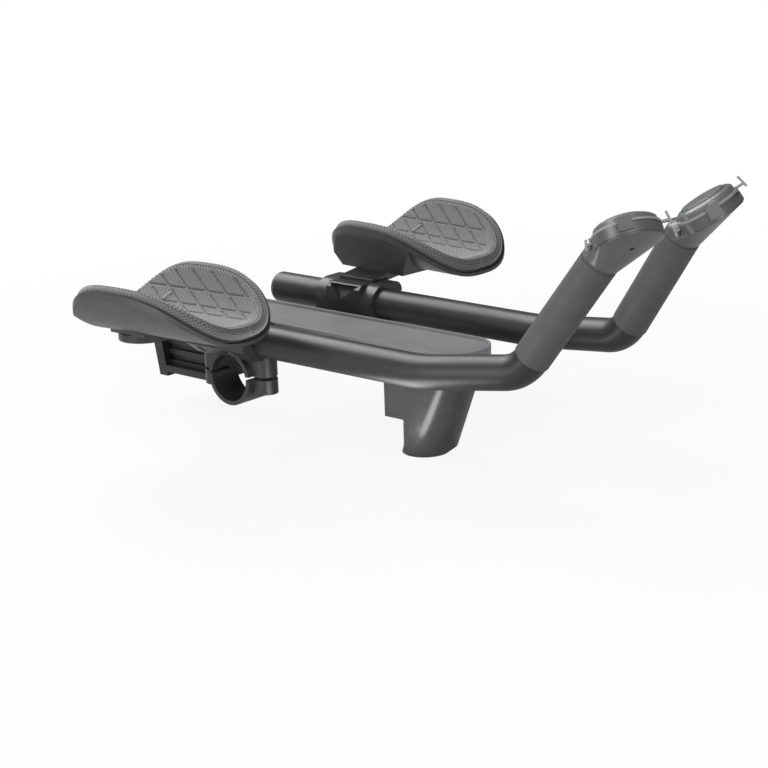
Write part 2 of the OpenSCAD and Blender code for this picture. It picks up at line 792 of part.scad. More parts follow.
module tray() {
    rib_centre = nose_centre(tray_bottom - 4) - 0.2;
    color(tray_grey) difference() {
        union() {
            difference() {
                translate([0, 0, tray_bottom]) linear_extrude(height = tray_h) tray_plan(0);
                translate([0, 0, tray_bottom - 1])
                    linear_extrude(height = tray_skin_z - tray_bottom + 1) tray_plan(tray_wall);
                translate([0, 0, tray_top - tray_rim_h]) linear_extrude(height = 10)
                    tray_plan(tray_rim_w);
            }
            for (x = tray_screw_xs, s = [-1, 1])
                translate([x, s * tray_screw_y, tray_bottom])
                    cylinder(h = tray_skin_z - tray_bottom + 0.5, r = 4.2, $fn = 40);
            // Cross ribs under the skin
            for (x = [-48, 48])
                translate([x - 1, -tray_half_w + 1, tray_bottom])
                    cube([2, 2 * tray_half_w - 2, tray_h - tray_rim_h - 1]);
            // Rib that the nose housing snaps over
            translate([0, 0, tray_bottom - 4]) difference() {
                linear_extrude(height = tray_skin_z - tray_bottom + 4.5)
                    nose_plan(rib_centre, nose_back, nose_wall + 0.15);
                translate([0, 0, -1]) linear_extrude(height = 5 + tray_skin_z - tray_bottom)
                    nose_plan(rib_centre, nose_back, nose_wall + 2);
            }
        }
        for (x = tray_screw_xs, s = [-1, 1])
            translate([x, s * tray_screw_y, 0]) cylinder(h = tray_bottom + 5, r = 1.9, $fn = 32);
        for (x = block_screw_xs)
            translate([x, 0, 0]) cylinder(h = 60, r = 1.9, $fn = 32);
        for (x = block_screw_xs)
            translate([x, 0, tray_top - tray_rim_h - 1.2]) cylinder(h = 5, r = 3.4, $fn = 40);
    }
}

// Plan of the nose housing: straight sides and a half-round front, drawn in by an inset
module nose_plan(front_centre, back, inset) {
    translate([back + inset, -nose_half_w + inset])
        square([front_centre - back - inset, 2 * (nose_half_w - inset)]);
    translate([front_centre, 0]) circle(r = nose_half_w - inset, $fn = 48);
}

// A tapered stretch of the nose between two heights
module nose_block(low, high, back, inset) {
    hull() {
        translate([0, 0, high - 0.1]) linear_extrude(height = 0.1)
            nose_plan(nose_centre(high), back, inset);
        translate([0, 0, low]) linear_extrude(height = 0.1)
            nose_plan(nose_centre(low), back, inset);
    }
}

function nose_centre(z) = nose_top_centre - nose_slope * (tray_bottom - z);

module nose_shape(inset, floor) {
    round_h = 5;
    nose_block(nose_step_z + floor, tray_bottom, nose_back, inset);
    // Collar that stands inside the tray
    translate([0, 0, tray_bottom - 0.2])
        linear_extrude(height = tray_skin_z - tray_bottom + 0.2 + (floor > 0 ? 1 : 0))
            nose_plan(nose_top_centre - 0.3, nose_back, inset + 0.1);
    nose_block(nose_bottom + round_h + floor, nose_step_z + floor + 0.1, nose_step_x, inset);
    hull() {
        translate([0, 0, nose_bottom + round_h + floor]) linear_extrude(height = 0.1)
            nose_plan(nose_centre(nose_bottom + round_h), nose_step_x, inset);
        translate([0, 0, nose_bottom + floor]) linear_extrude(height = 0.1)
            nose_plan(nose_centre(nose_bottom) - 2.5, nose_step_x, inset + 2.2);
    }
}

module nose_housing() {
    color(plastic_black) difference() {
        nose_shape(0, 0);
        nose_shape(nose_wall, nose_wall);
    }
}

module rear_block() {
    core_half_w = block_half_w - 6;
    top = tray_skin_z;
    groove_pitch = (top - 4 - block_ledge_z) / groove_count;
    color(plastic_black) difference() {
        union() {
            // End plate that leans forward towards its foot
            rotate([90, 0, 0]) translate([0, 0, -block_half_w])
                linear_extrude(height = 2 * block_half_w)
                    polygon([
                        [block_back, top], [block_back + 9, top],
                        [block_back + block_lean + 8, block_bottom], [block_back + block_lean, block_bottom]
                    ]);
            translate([block_back + 5, -core_half_w, block_ledge_z])
                cube([block_front - block_back - 5, 2 * core_half_w, top - block_ledge_z]);
            // Ledge under the grooves
            translate([block_back + block_lean, -block_half_w, block_ledge_z - 5])
                cube([block_front - block_back - block_lean, 2 * block_half_w, 5]);
            translate([block_front - 4, -block_half_w, block_ledge_z - 5])
                cube([4, 2 * block_half_w, top - block_ledge_z + 5]);
        }
        for (i = [0:groove_count - 1], s = [-1, 1])
            translate([block_back + 14, s > 0 ? core_half_w - 3 : -core_half_w - 1,
                    block_ledge_z + 3 + i * groove_pitch])
                cube([block_front - block_back - 18 - 4, 4, groove_pitch * 0.5]);
        for (x = block_screw_xs) translate([x, 0, top - 12]) cylinder(h = 20, r = 1.5, $fn = 32);
    }
}

module clamp_bolts() {
    seat = split_z - split_gap / 2 - boss_depth + 4;
    len = 16;
    color(steel_black) both_sides() for (x = [-bolt_x, bolt_x])
        translate([x, clamp_y, seat + len]) mirror([0, 0, 1])
            socket_screw(bolt_d, len, bolt_head_d, bolt_head_h, 4);
}

module pinch_bolts() {
    len = 12.5;
    color(steel_black) both_sides() for (x = pinch_xs)
        translate([x, pinch_y, pinch_seat + len]) mirror([0, 0, 1])
            socket_screw(pinch_d, len, pinch_head_d, pinch_head_h, 3);
}

module plate_screws() {
    len = 5;
    color(steel_black) both_sides() for (x = plate_screw_xs)
        translate([x, plate_screw_y, plate_top - plate_screw_sink - len])
            socket_screw(3, len, 6, plate_screw_sink, 2);
}

module armrest_bolts() {
    len = cup_wall + plate_t - 0.4;
    color(steel_black) both_sides() for (y = rest_bolt_ys)
        translate([plate_mid_x(y), y, plate_top + cup_wall - len]) socket_screw(bolt_d, len, 9, 2.6, 3);
}

module pod_grub_screws() {
    color(steel_black) both_sides() one_grub_screw();
}

module tray_screws() {
    len = lug_t + 4;
    color(steel_black) for (x = tray_screw_xs, s = [-1, 1])
        translate([x, s * tray_screw_y, tray_bottom + 4]) mirror([0, 0, 1])
            socket_screw(3.6, len, 6.5, 2, 2.5);
}

module block_screws() {
    len = 9;
    color(steel_black) for (x = block_screw_xs)
        translate([x, 0, tray_top - tray_rim_h - 1.2 - len]) socket_screw(3, len, 6.4, 1.2, 2);
}

module left_extension_tube() {
    color(tube_black) extension_tube();
}

module right_extension_tube() {
    other_side() left_extension_tube();
}

module left_grip_sleeve() {
    color(rubber_grey) grip_sleeve();
}

module right_grip_sleeve() {
    other_side() left_grip_sleeve();
}

module left_end_plug() {
    color(plastic_black) end_plug();
}

module right_end_plug() {
    other_side() left_end_plug();
}

module left_tube_bracket() {
    color(forged_black) tube_bracket();
}

module right_tube_bracket() {
    other_side() left_tube_bracket();
}

module left_lower_clamp() {
    color(forged_black) lower_clamp();
}

module right_lower_clamp() {
    other_side() left_lower_clamp();
}

module left_armrest_plate() {
    color(forged_black) armrest_plate();
}

module right_armrest_plate() {
    other_side() left_armrest_plate();
}

module left_armrest_cup() {
    color(plastic_black) armrest_cup();
}

module right_armrest_cup() {
    other_side() left_armrest_cup();
}

module left_armrest_pad() {
    color(foam_grey) armrest_pad();
}

module right_armrest_pad() {
    other_side() left_armrest_pad();
}

module left_pod_base() {
    color(plastic_black) pod_base(tab_turn);
}

module right_pod_base() {
    color(plastic_black) other_side() pod_base(-tab_turn);
}

module left_puck_shell() {
    color(plastic_black) puck_shell();
}

module right_puck_shell() {
    other_side() left_puck_shell();
}

module left_coin_cell() {
    color(steel_grey) coin_cell();
}

module right_coin_cell() {
    other_side() left_coin_cell();
}

module left_puck_board() {
    color(board_green) puck_board();
}

module right_puck_board() {
    other_side() left_puck_board();
}

module left_puck_button() {
    color(rubber_grey) puck_button();
}

module right_puck_button() {
    other_side() left_puck_button();
}

module left_retaining_strap() {
    color(rubber_grey) retaining_strap(tab_turn);
}

module right_retaining_strap() {
    color(rubber_grey) other_side() retaining_strap(-tab_turn);
}

left_extension_tube();
right_extension_tube();
left_grip_sleeve();
right_grip_sleeve();
left_end_plug();
right_end_plug();
left_tube_bracket();
right_tube_bracket();
left_lower_clamp();
right_lower_clamp();
left_armrest_plate();
right_armrest_plate();
left_armrest_cup();
right_armrest_cup();
left_armrest_pad();
right_armrest_pad();
left_pod_base();
right_pod_base();
left_puck_shell();
right_puck_shell();
left_coin_cell();
right_coin_cell();
left_puck_board();
right_puck_board();
left_puck_button();
right_puck_button();
left_retaining_strap();
right_retaining_strap();
tray();
nose_housing();
rear_block();
clamp_bolts();
pinch_bolts();
plate_screws();
armrest_bolts();
pod_grub_screws();
tray_screws();
block_screws();
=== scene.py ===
"""Looks of the clip-on aerobar: smooth tubes, quilted pads, moulded shells and satin metal."""
import logging
import math
from dataclasses import dataclass
from enum import Enum
from typing import Iterable, Optional, Sequence

import bmesh
import bpy
import numpy as np
from mathutils import Matrix, Vector


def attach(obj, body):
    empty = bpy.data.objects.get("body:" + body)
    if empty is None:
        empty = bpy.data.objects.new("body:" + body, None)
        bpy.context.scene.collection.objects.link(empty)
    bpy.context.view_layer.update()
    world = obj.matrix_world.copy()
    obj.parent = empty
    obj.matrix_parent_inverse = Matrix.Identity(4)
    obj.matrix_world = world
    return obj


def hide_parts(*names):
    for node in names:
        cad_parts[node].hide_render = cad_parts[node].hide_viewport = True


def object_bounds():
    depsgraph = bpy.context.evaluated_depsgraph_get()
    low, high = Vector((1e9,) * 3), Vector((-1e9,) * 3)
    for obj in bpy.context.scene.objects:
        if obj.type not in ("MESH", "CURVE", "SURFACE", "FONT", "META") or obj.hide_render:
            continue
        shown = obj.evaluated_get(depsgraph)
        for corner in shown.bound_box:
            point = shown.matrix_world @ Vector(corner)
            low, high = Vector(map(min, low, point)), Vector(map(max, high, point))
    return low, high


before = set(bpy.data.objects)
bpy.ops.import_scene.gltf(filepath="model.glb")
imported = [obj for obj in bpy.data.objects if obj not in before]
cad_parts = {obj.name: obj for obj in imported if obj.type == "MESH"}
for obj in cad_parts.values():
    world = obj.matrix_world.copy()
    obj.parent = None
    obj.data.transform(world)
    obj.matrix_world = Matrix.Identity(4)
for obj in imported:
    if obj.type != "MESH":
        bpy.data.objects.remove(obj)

LOG = logging.getLogger("aerobar")
MM = 0.001
CAD_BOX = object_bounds()


class Side(Enum):
    """The two hands of the part, with the sign of their Y."""

    LEFT = 1
    RIGHT = -1

    @property
    def word(self) -> str:
        """The hand's name, as the nodes spell it."""
        return self.name.lower()


class Texture(Enum):
    """The kinds of surface texture that a finish can have, each with its grain's scale per metre."""

    SMOOTH = 5200.0
    FINE_GRAIN = 3000.0
    COARSE_GRAIN = 1500.0


# ---------------------------------------------------------------- meshes


def mesh_object(name: str, points: Sequence, faces: Sequence, smooth: bool = True) -> bpy.types.Object:
    """Makes an object of points and faces, in metres, linked to the scene.

    Args:
        name: the piece's name.
        points: its points.
        faces: its faces, as tuples of point numbers.
        smooth: whether the faces are shaded smooth.

    Returns:
        The new object.
    """
    mesh = bpy.data.meshes.new(name)
    mesh.from_pydata([tuple(p) for p in points], [], [tuple(f) for f in faces])
    mesh.polygons.foreach_set("use_smooth", [smooth] * len(mesh.polygons))
    mesh.update()
    piece = bpy.data.objects.new(name, mesh)
    bpy.context.scene.collection.objects.link(piece)
    return piece


def flatten_modifiers(piece: bpy.types.Object) -> None:
    """Turns the piece and its modifiers into a plain mesh."""
    bpy.context.view_layer.update()
    graph = bpy.context.evaluated_depsgraph_get()
    mesh = bpy.data.meshes.new_from_object(piece.evaluated_get(graph))
    piece.modifiers.clear()
    piece.data = mesh


def grid_faces(rows: int, columns: int, start: int = 0) -> list[tuple[int, ...]]:
    """Quads between successive closed rows of points.

    Args:
        rows: how many rows there are.
        columns: how many points each row has.
        start: the number of the first point.

    Returns:
        The faces, wound so that they face outwards when a row runs anticlockwise
        seen from the last row's side.
    """
    faces = []
    for i in range(rows - 1):
        for j in range(columns):
            k = (j + 1) % columns
            faces.append((start + i * columns + j, start + i * columns + k,
                          start + (i + 1) * columns + k, start + (i + 1) * columns + j))
    return faces


def swept_rings(path: Sequence[Vector], radius: float, count: int) -> list[Vector]:
    """Rings of points round a path, kept from twisting.

    Args:
        path: the points of the centreline.
        radius: the rings' radius.
        count: how many points a ring has.

    Returns:
        The rings' points, one ring after the other.
    """
    tangents = []
    for i in range(len(path)):
        ahead = path[min(i + 1, len(path) - 1)]
        behind = path[max(i - 1, 0)]
        tangents.append((ahead - behind).normalized())
    across = tangents[0].cross(Vector((0, 0, 1))).normalized()
    points = []
    for centre, along in zip(path, tangents):
        across = (across - along * across.dot(along)).normalized()
        up = across.cross(along)
        for j in range(count):
            turn = 2 * math.pi * j / count
            points.append(centre + radius * (math.cos(turn) * across + math.sin(turn) * up))
    return points


def revolved(name: str, place: Matrix, outline: Sequence[tuple[float, float]],
             count: int) -> bpy.types.Object:
    """Turns an outline of (radius, height) about the place's Z into a closed piece.

    Args:
        name: the piece's name.
        place: where the axis stands.
        outline: the closed loop of (radius, height), in metres.
        count: how many steps go round.

    Returns:
        The new object.
    """
    points = []
    for radius, height in outline:
        for j in range(count):
            turn = 2 * math.pi * j / count
            points.append(place @ Vector((radius * math.cos(turn), radius * math.sin(turn), height)))
    faces = grid_faces(len(outline), count)
    last = (len(outline) - 1) * count
    faces += [(last + j, last + (j + 1) % count, (j + 1) % count, j) for j in range(count)]
    piece = mesh_object(name, points, faces)
    face_outwards(piece)
    return piece


def face_outwards(piece: bpy.types.Object, merge: bool = True) -> None:
    """Turns the piece's faces outwards.

    Args:
        piece: the piece.
        merge: whether points that coincide are joined first.
    """
    shell = bmesh.new()
    shell.from_mesh(piece.data)
    if merge:
        bmesh.ops.remove_doubles(shell, verts=shell.verts, dist=1e-7)
    bmesh.ops.recalc_face_normals(shell, faces=shell.faces)
    shell.to_mesh(piece.data)
    shell.free()


# ---------------------------------------------------------------- materials


class Wiring:
    """Adds nodes to a node tree and joins them."""

    def __init__(self, tree: bpy.types.NodeTree) -> None:
        """Starts on a tree.

        Args:
            tree: the tree to add to.
        """
        self.tree = tree

    def add(self, kind: str, inputs: Optional[dict] = None, **settings: object) -> bpy.types.Node:
        """Adds a node.

        Args:
            kind: the node's type.
            inputs: socket name or number to a value, or to a socket to join.
            settings: the node's own settings.

        Returns:
            The new node.
        """
        node = self.tree.nodes.new(kind)
        for key, value in settings.items():
            setattr(node, key, value)
        for key, value in (inputs or {}).items():
            socket = node.inputs[key]
            if isinstance(value, bpy.types.NodeSocket):
                self.tree.links.new(value, socket)
            else:
                socket.default_value = value
        return node

    def maths(self, operation: str, *values: object) -> bpy.types.NodeSocket:
        """A Math node's result.

        Args:
            operation: what it works out.
            values: its numbers or sockets.

        Returns:
            The socket with the result.
        """
        node = self.add("ShaderNodeMath", dict(enumerate(values)), operation=operation)
        return node.outputs[0]

    def blend(self, share: object, low: object, high: object) -> bpy.types.NodeSocket:
        """A mix of two colours.

        Args:
            share: how much of the second there is.
            low: the first colour.
            high: the second colour.

        Returns:
            The socket with the colour.
        """
        node = self.add("ShaderNodeMix", {0: share, 6: low, 7: high}, data_type="RGBA")
        return node.outputs[2]


def smooth_step(value: float, low: float, high: float) -> float:
    """Rises smoothly from 0 at low to 1 at high, or falls when high is below low."""
    share = min(max((value - low) / (high - low), 0.0), 1.0)
    return share * share * (3 - 2 * share)


def grey(level: float) -> tuple[float, float, float, float]:
    """A very slightly cool grey of a linear level."""
    return (level * 0.98, level, level * 1.03, 1.0)


def shader_group(name: str, sockets_in: dict, sockets_out: dict
                 ) -> tuple[bpy.types.NodeTree, Wiring, dict, bpy.types.Node]:
    """Starts a shader node group with named sockets.

    Args:
        name: the group's name.
        sockets_in: name to (kind, value) of each input.
        sockets_out: name to kind of each output.

    Returns:
        The tree, its wiring, its inputs by name, and its output node.
    """
    tree = bpy.data.node_groups.new(name, "ShaderNodeTree")
    for key, (kind, value) in sockets_in.items():
        socket = tree.interface.new_socket(key, in_out="INPUT", socket_type=kind)
        if value is not None:
            socket.default_value = value
    for key, kind in sockets_out.items():
        tree.interface.new_socket(key, in_out="OUTPUT", socket_type=kind)
    wiring = Wiring(tree)
    source = wiring.add("NodeGroupInput")
    sink = wiring.add("NodeGroupOutput")
    return tree, wiring, {s.name: s for s in source.outputs if s.name}, sink


def grain_group() -> bpy.types.NodeTree:
    """The fine moulded or painted grain that several finishes share."""
    tree, wiring, given, sink = shader_group(
        "moulded grain",
        {"Vector": ("NodeSocketVector", None), "Scale": ("NodeSocketFloat", 2500.0)},
        {"Height": "NodeSocketFloat", "Mottle": "NodeSocketFloat"})
    fine = wiring.add("ShaderNodeTexNoise", {"Vector": given["Vector"], "Scale": given["Scale"],
                                             "Detail": 2.0, "Roughness": 0.6})
    slow_scale = wiring.maths("MULTIPLY", given["Scale"], 0.012)
    slow = wiring.add("ShaderNodeTexNoise", {"Vector": given["Vector"], "Scale": slow_scale, "Detail": 3.0})
    tree.links.new(fine.outputs["Fac"], sink.inputs["Height"])
    tree.links.new(slow.outputs["Fac"], sink.inputs["Mottle"])
    return tree


def rubbed_group() -> bpy.types.NodeTree:
    """Faint rubbed streaks and finger marks that several finishes share."""
    tree, wiring, given, sink = shader_group(
        "rubbed marks",
        {"Vector": ("NodeSocketVector", None), "Stretch": ("NodeSocketVector", (1.0, 1.0, 1.0))},
        {"Mask": "NodeSocketFloat"})
    drawn = wiring.add("ShaderNodeVectorMath", {0: given["Vector"], 1: given["Stretch"]},
                       operation="MULTIPLY")
    streaks = wiring.add("ShaderNodeTexNoise", {"Vector": drawn.outputs[0], "Scale": 90.0, "Detail": 5.0,
                                                "Roughness": 0.7})
    sharpened = wiring.add("ShaderNodeMapRange", {"Value": streaks.outputs["Fac"], "From Min": 0.42,
                                                  "From Max": 0.72})
    tree.links.new(sharpened.outputs[0], sink.inputs["Mask"])
    return tree


def knit_group() -> bpy.types.NodeTree:
    """The knitted cloth that the pad's cover and border share: rows of small loops."""
    tree, wiring, given, sink = shader_group(
        "knit",
        {"Vector": ("NodeSocketVector", None), "Pitch": ("NodeSocketFloat", 0.001),
         "Open": ("NodeSocketFloat", 0.0)},
        {"Height": "NodeSocketFloat", "Gap": "NodeSocketFloat"})
    parts = wiring.add("ShaderNodeSeparateXYZ", {"Vector": given["Vector"]})
    wave = wiring.maths("DIVIDE", 2 * math.pi, given["Pitch"])
    across = wiring.maths("MULTIPLY", parts.outputs[0], wave)
    along = wiring.maths("MULTIPLY", parts.outputs[1], wave)
    slant = wiring.maths("ADD", along, wiring.maths("MULTIPLY", wiring.maths("SINE", across), 0.7))
    loops = wiring.maths("MULTIPLY", wiring.maths("COSINE", across), wiring.maths("COSINE", slant))
    height = wiring.maths("MULTIPLY_ADD", loops, 0.5, 0.5)
    # gaps between the loops, which the cloth darkens as painted shade in the holes
    gap = wiring.add("ShaderNodeMapRange", {"Value": height, "From Min": 0.42, "From Max": 0.1})
    fuzz = wiring.add("ShaderNodeTexNoise", {"Vector": given["Vector"], "Scale": 4200.0, "Detail": 2.0})
    mixed = wiring.maths("MULTIPLY_ADD", fuzz.outputs["Fac"], 0.35, height)
    tree.links.new(mixed, sink.inputs["Height"])
    tree.links.new(wiring.maths("MULTIPLY", gap.outputs[0], given["Open"]), sink.inputs["Gap"])
    return tree


GRAIN = grain_group()
RUBBED = rubbed_group()
KNIT = knit_group()


def start_material(name: str) -> tuple[bpy.types.Material, Wiring, bpy.types.Node]:
    """A new material with its Principled shader joined up.

    Args:
        name: the material's name.

    Returns:
        The material, its wiring and its shader node.
    """
    material = bpy.data.materials.new(name)
    material.use_nodes = True
    material.node_tree.nodes.clear()
    wiring = Wiring(material.node_tree)
    shader = wiring.add("ShaderNodeBsdfPrincipled")
    wiring.add("ShaderNodeOutputMaterial", {"Surface": shader.outputs[0]})
    return material, wiring, shader


@dataclass(frozen=True)
class Moulded:
    """A moulded plastic, rubber or painted metal surface.

    Attributes:
        name: the material's name.
        level: the linear grey of its colour.
        roughness: its roughness.
        texture: how coarse its grain is.
        bump: the depth of its grain, in metres.
        metallic: how much of a metal it is.
        coat: the weight of a clear coat.
        rub: how far rubbing lightens it.
        stretch: how the rubbed streaks are drawn out along X, Y and Z.
    """

    name: str
    level: float
    roughness: float
    texture: Texture = Texture.FINE_GRAIN
    bump: float = 0.00002
    metallic: float = 0.0
    coat: float = 0.0
    rub: float = 0.15
    stretch: tuple[float, float, float] = (1.0, 1.0, 1.0)

    def material(self) -> bpy.types.Material:
        """Builds the finish's material."""
        material, wiring, shader = start_material(self.name)
        place = wiring.add("ShaderNodeTexCoord").outputs["Object"]
        grain = wiring.add("ShaderNodeGroup", node_tree=GRAIN)
        wiring.tree.links.new(place, grain.inputs["Vector"])
        grain.inputs["Scale"].default_value = self.texture.value
        rubbed = wiring.add("ShaderNodeGroup", node_tree=RUBBED)
        wiring.tree.links.new(place, rubbed.inputs["Vector"])
        rubbed.inputs["Stretch"].default_value = self.stretch
        tint = wiring.add("ShaderNodeMapRange", {"Value": grain.outputs["Mottle"], "From Min": 0.3,
                                                 "From Max": 0.7, "To Min": 0.0, "To Max": 1.0})
        base = wiring.blend(tint.outputs[0], grey(self.level * 0.9), grey(self.level * 1.1))
        share = wiring.maths("MULTIPLY", rubbed.outputs["Mask"], self.rub)
        colour = wiring.blend(share, base, grey(self.level * 1.5 + 0.01))
        wiring.tree.links.new(colour, shader.inputs["Base Color"])
        rough = wiring.add("ShaderNodeMapRange", {"Value": rubbed.outputs["Mask"], "To Min": self.roughness,
                                                  "To Max": self.roughness * 0.85})
        grained = wiring.maths("MULTIPLY_ADD", grain.outputs["Height"], 0.08, rough.outputs[0])
        wiring.tree.links.new(wiring.maths("SUBTRACT", grained, 0.04), shader.inputs["Roughness"])
        bump = wiring.add("ShaderNodeBump", {"Height": grain.outputs["Height"], "Strength": 0.6,
                                             "Distance": self.bump})
        wiring.tree.links.new(bump.outputs[0], shader.inputs["Normal"])
        shader.inputs["Metallic"].default_value = self.metallic
        shader.inputs["Coat Weight"].default_value = self.coat
        shader.inputs["Coat Roughness"].default_value = 0.12
        return material


@dataclass(frozen=True)
class Cloth:
    """The pad's knitted cover or border.

    Attributes:
        name: the material's name.
        level: the linear grey of its yarn.
        pitch: the width of a loop, in metres.
        open: how dark the gaps between the loops are painted, as shade in the holes.
        bump: the loops' depth, in metres.
    """

    name: str
    level: float
    pitch: float
    open: float
    bump: float = 0.00012

    def material(self) -> bpy.types.Material:
        """Builds the cloth's material, on the piece's own UV map and channel attribute, with painted shade in
        the loops' low parts, in the gaps between them and where the attribute marks.
        """
        material, wiring, shader = start_material(self.name)
        place = wiring.add("ShaderNodeUVMap", uv_map="cloth").outputs["UV"]
        knit = wiring.add("ShaderNodeGroup", node_tree=KNIT)
        wiring.tree.links.new(place, knit.inputs["Vector"])
        knit.inputs["Pitch"].default_value = self.pitch
        knit.inputs["Open"].default_value = self.open
        grain = wiring.add("ShaderNodeGroup", node_tree=GRAIN)
        wiring.tree.links.new(place, grain.inputs["Vector"])
        grain.inputs["Scale"].default_value = 1600.0
        yarn = wiring.blend(grain.outputs["Mottle"], grey(self.level * 0.85),
                            grey(min(self.level * 1.2, 0.95)))
        # painted shade: the loops' low parts darker, the gaps between them darker still
        loop_shaded_yarn = wiring.blend(knit.outputs["Height"], grey(self.level * 0.45), yarn)
        gap_shaded_yarn = wiring.blend(knit.outputs["Gap"], loop_shaded_yarn, grey(self.level * 0.1))
        # painted shade in the quilting's channels, the seam's groove and the pad's lower edge against the cup
        pressed = wiring.add("ShaderNodeAttribute", attribute_name="pressed")
        shade = wiring.maths("MULTIPLY", pressed.outputs["Fac"], 0.95)
        colour = wiring.blend(shade, gap_shaded_yarn, grey(self.level * 0.12))
        wiring.tree.links.new(colour, shader.inputs["Base Color"])
        bump = wiring.add("ShaderNodeBump", {"Height": knit.outputs["Height"], "Strength": 0.8,
                                             "Distance": self.bump})
        wiring.tree.links.new(bump.outputs[0], shader.inputs["Normal"])
        shader.inputs["Roughness"].default_value = 0.85
        shader.inputs["Sheen Weight"].default_value = 0.4
        shader.inputs["Sheen Roughness"].default_value = 0.5
        return material


TUBE_PAINT = Moulded("satin tube paint", 0.022, 0.42, bump=0.000012, metallic=0.35, rub=0.12,
                     stretch=(0.25, 1.0, 1.0))
FORGED = Moulded("satin forged metal", 0.036, 0.34, bump=0.000015, metallic=0.4)
GRIP_RUBBER = Moulded("grip rubber", 0.048, 0.62, Texture.COARSE_GRAIN, bump=0.00004, rub=0.2)
PLUG_PLASTIC = Moulded("plug plastic", 0.045, 0.45)
SHELL_PLASTIC = Moulded("cup plastic", 0.036, 0.4, rub=0.12)
POD_PLASTIC = Moulded("pod plastic", 0.07, 0.34)
PUCK_PLASTIC = Moulded("puck plastic", 0.11, 0.32, bump=0.000015)
BUTTON_RUBBER = Moulded("button rubber", 0.09, 0.45)
STRAP_RUBBER = Moulded("strap rubber", 0.2, 0.6, Texture.COARSE_GRAIN)
TRAY_PLASTIC = Moulded("tray plastic", 0.16, 0.42, stretch=(0.3, 1.0, 1.0))
NOSE_PLASTIC = Moulded("nose plastic", 0.042, 0.3, Texture.SMOOTH, bump=0.000008, coat=0.25, rub=0.1)
BLOCK_PLASTIC = Moulded("block plastic", 0.012, 0.45)
SCREW_STEEL = Moulded("black oxide steel", 0.06, 0.32, Texture.SMOOTH, bump=0.000005, metallic=0.8)
CELL_STEEL = Moulded("cell steel", 0.5, 0.25, Texture.SMOOTH, bump=0.000005, metallic=1.0)
BOARD_RESIN = Moulded("board resin", 0.05, 0.5, bump=0.00001)
THREAD = Moulded("stitching thread", 0.018, 0.8, Texture.COARSE_GRAIN)
TAB_TAPE = Moulded("tab tape", 0.24, 0.8, Texture.COARSE_GRAIN, bump=0.00004)
COVER_KNIT = Cloth("cover knit", 0.115, 0.0026, 0.8, 0.0003)
# the border's near-white yarn: a lighter knit, made lighter still as painted light on the pad's side band
BORDER_KNIT = Cloth("border knit", 0.9, 0.0032, 0.45, 0.0004)


class Wardrobe:
    """Keeps each finish's material, so that it is built once."""

    def __init__(self) -> None:
        """Starts empty."""
        self.built: dict[str, bpy.types.Material] = {}

    def give(self, finish: Moulded | Cloth) -> bpy.types.Material:
        """The finish's material, built on first use."""
        if finish.name not in self.built:
            self.built[finish.name] = finish.material()
        return self.built[finish.name]

    def dress(self, piece: bpy.types.Object, *finishes: Moulded | Cloth) -> None:
        """Gives a piece its materials in order, in place of what it had."""
        piece.data.materials.clear()
        for finish in finishes:
            piece.data.materials.append(self.give(finish))


WARDROBE = Wardrobe()


def settle(piece: bpy.types.Object, body: str, slot: str, *nodes: str) -> None:
    """Rides a finished piece on its body, and hides the nodes it stands for.

    Args:
        piece: the finished piece.
        body: the body it moves with.
        slot: not used.
        nodes: the nodes that it replaces.
    """
    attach(piece, body)
    if nodes:
        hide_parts(*nodes)
    LOG.info("%s: %d faces, on %s", piece.name, len(piece.data.polygons), body)


# ---------------------------------------------------------------- scattered details


def scatter_tree() -> bpy.types.NodeTree:
    """Geometry Nodes that put a small bead on each point, drawn out along its own direction."""
    tree = bpy.data.node_groups.new("beads on points", "GeometryNodeTree")
    face = tree.interface
    face.new_socket("Points", in_out="INPUT", socket_type="NodeSocketGeometry")
    for key, value in (("Length", 0.002), ("Width", 0.0006), ("Height", 0.0004)):
        face.new_socket(key, in_out="INPUT", socket_type="NodeSocketFloat").default_value = value
    face.new_socket("Finish", in_out="INPUT", socket_type="NodeSocketMaterial")
    face.new_socket("Beads", in_out="OUTPUT", socket_type="NodeSocketGeometry")
    wiring = Wiring(tree)
    given = {s.name: s for s in wiring.add("NodeGroupInput").outputs if s.name}
    bead = wiring.add("GeometryNodeMeshUVSphere", {"Segments": 8, "Rings": 5, "Radius": 0.5})
    size = wiring.add("ShaderNodeCombineXYZ", {0: given["Length"], 1: given["Width"], 2: given["Height"]})
    along = wiring.add("GeometryNodeInputNamedAttribute", {"Name": "along"}, data_type="FLOAT_VECTOR")
    up = wiring.add("GeometryNodeInputNamedAttribute", {"Name": "up"}, data_type="FLOAT_VECTOR")
    first = wiring.add("FunctionNodeAlignRotationToVector", {"Vector": along.outputs[0]}, axis="X")
    turned = wiring.add("FunctionNodeAlignRotationToVector",
                        {"Rotation": first.outputs[0], "Vector": up.outputs[0]}, axis="Z", pivot_axis="X")
    spread = wiring.add("GeometryNodeInstanceOnPoints",
                        {"Points": given["Points"], "Instance": bead.outputs["Mesh"],
                         "Rotation": turned.outputs[0], "Scale": size.outputs[0]})
    real = wiring.add("GeometryNodeRealizeInstances", {"Geometry": spread.outputs[0]})
    smooth = wiring.add("GeometryNodeSetShadeSmooth", {"Geometry": real.outputs[0]})
    finish = wiring.add("GeometryNodeSetMaterial",
                        {"Geometry": smooth.outputs[0], "Material": given["Finish"]})
    wiring.add("NodeGroupOutput", {"Beads": finish.outputs[0]})
    return tree


BEADS = scatter_tree()


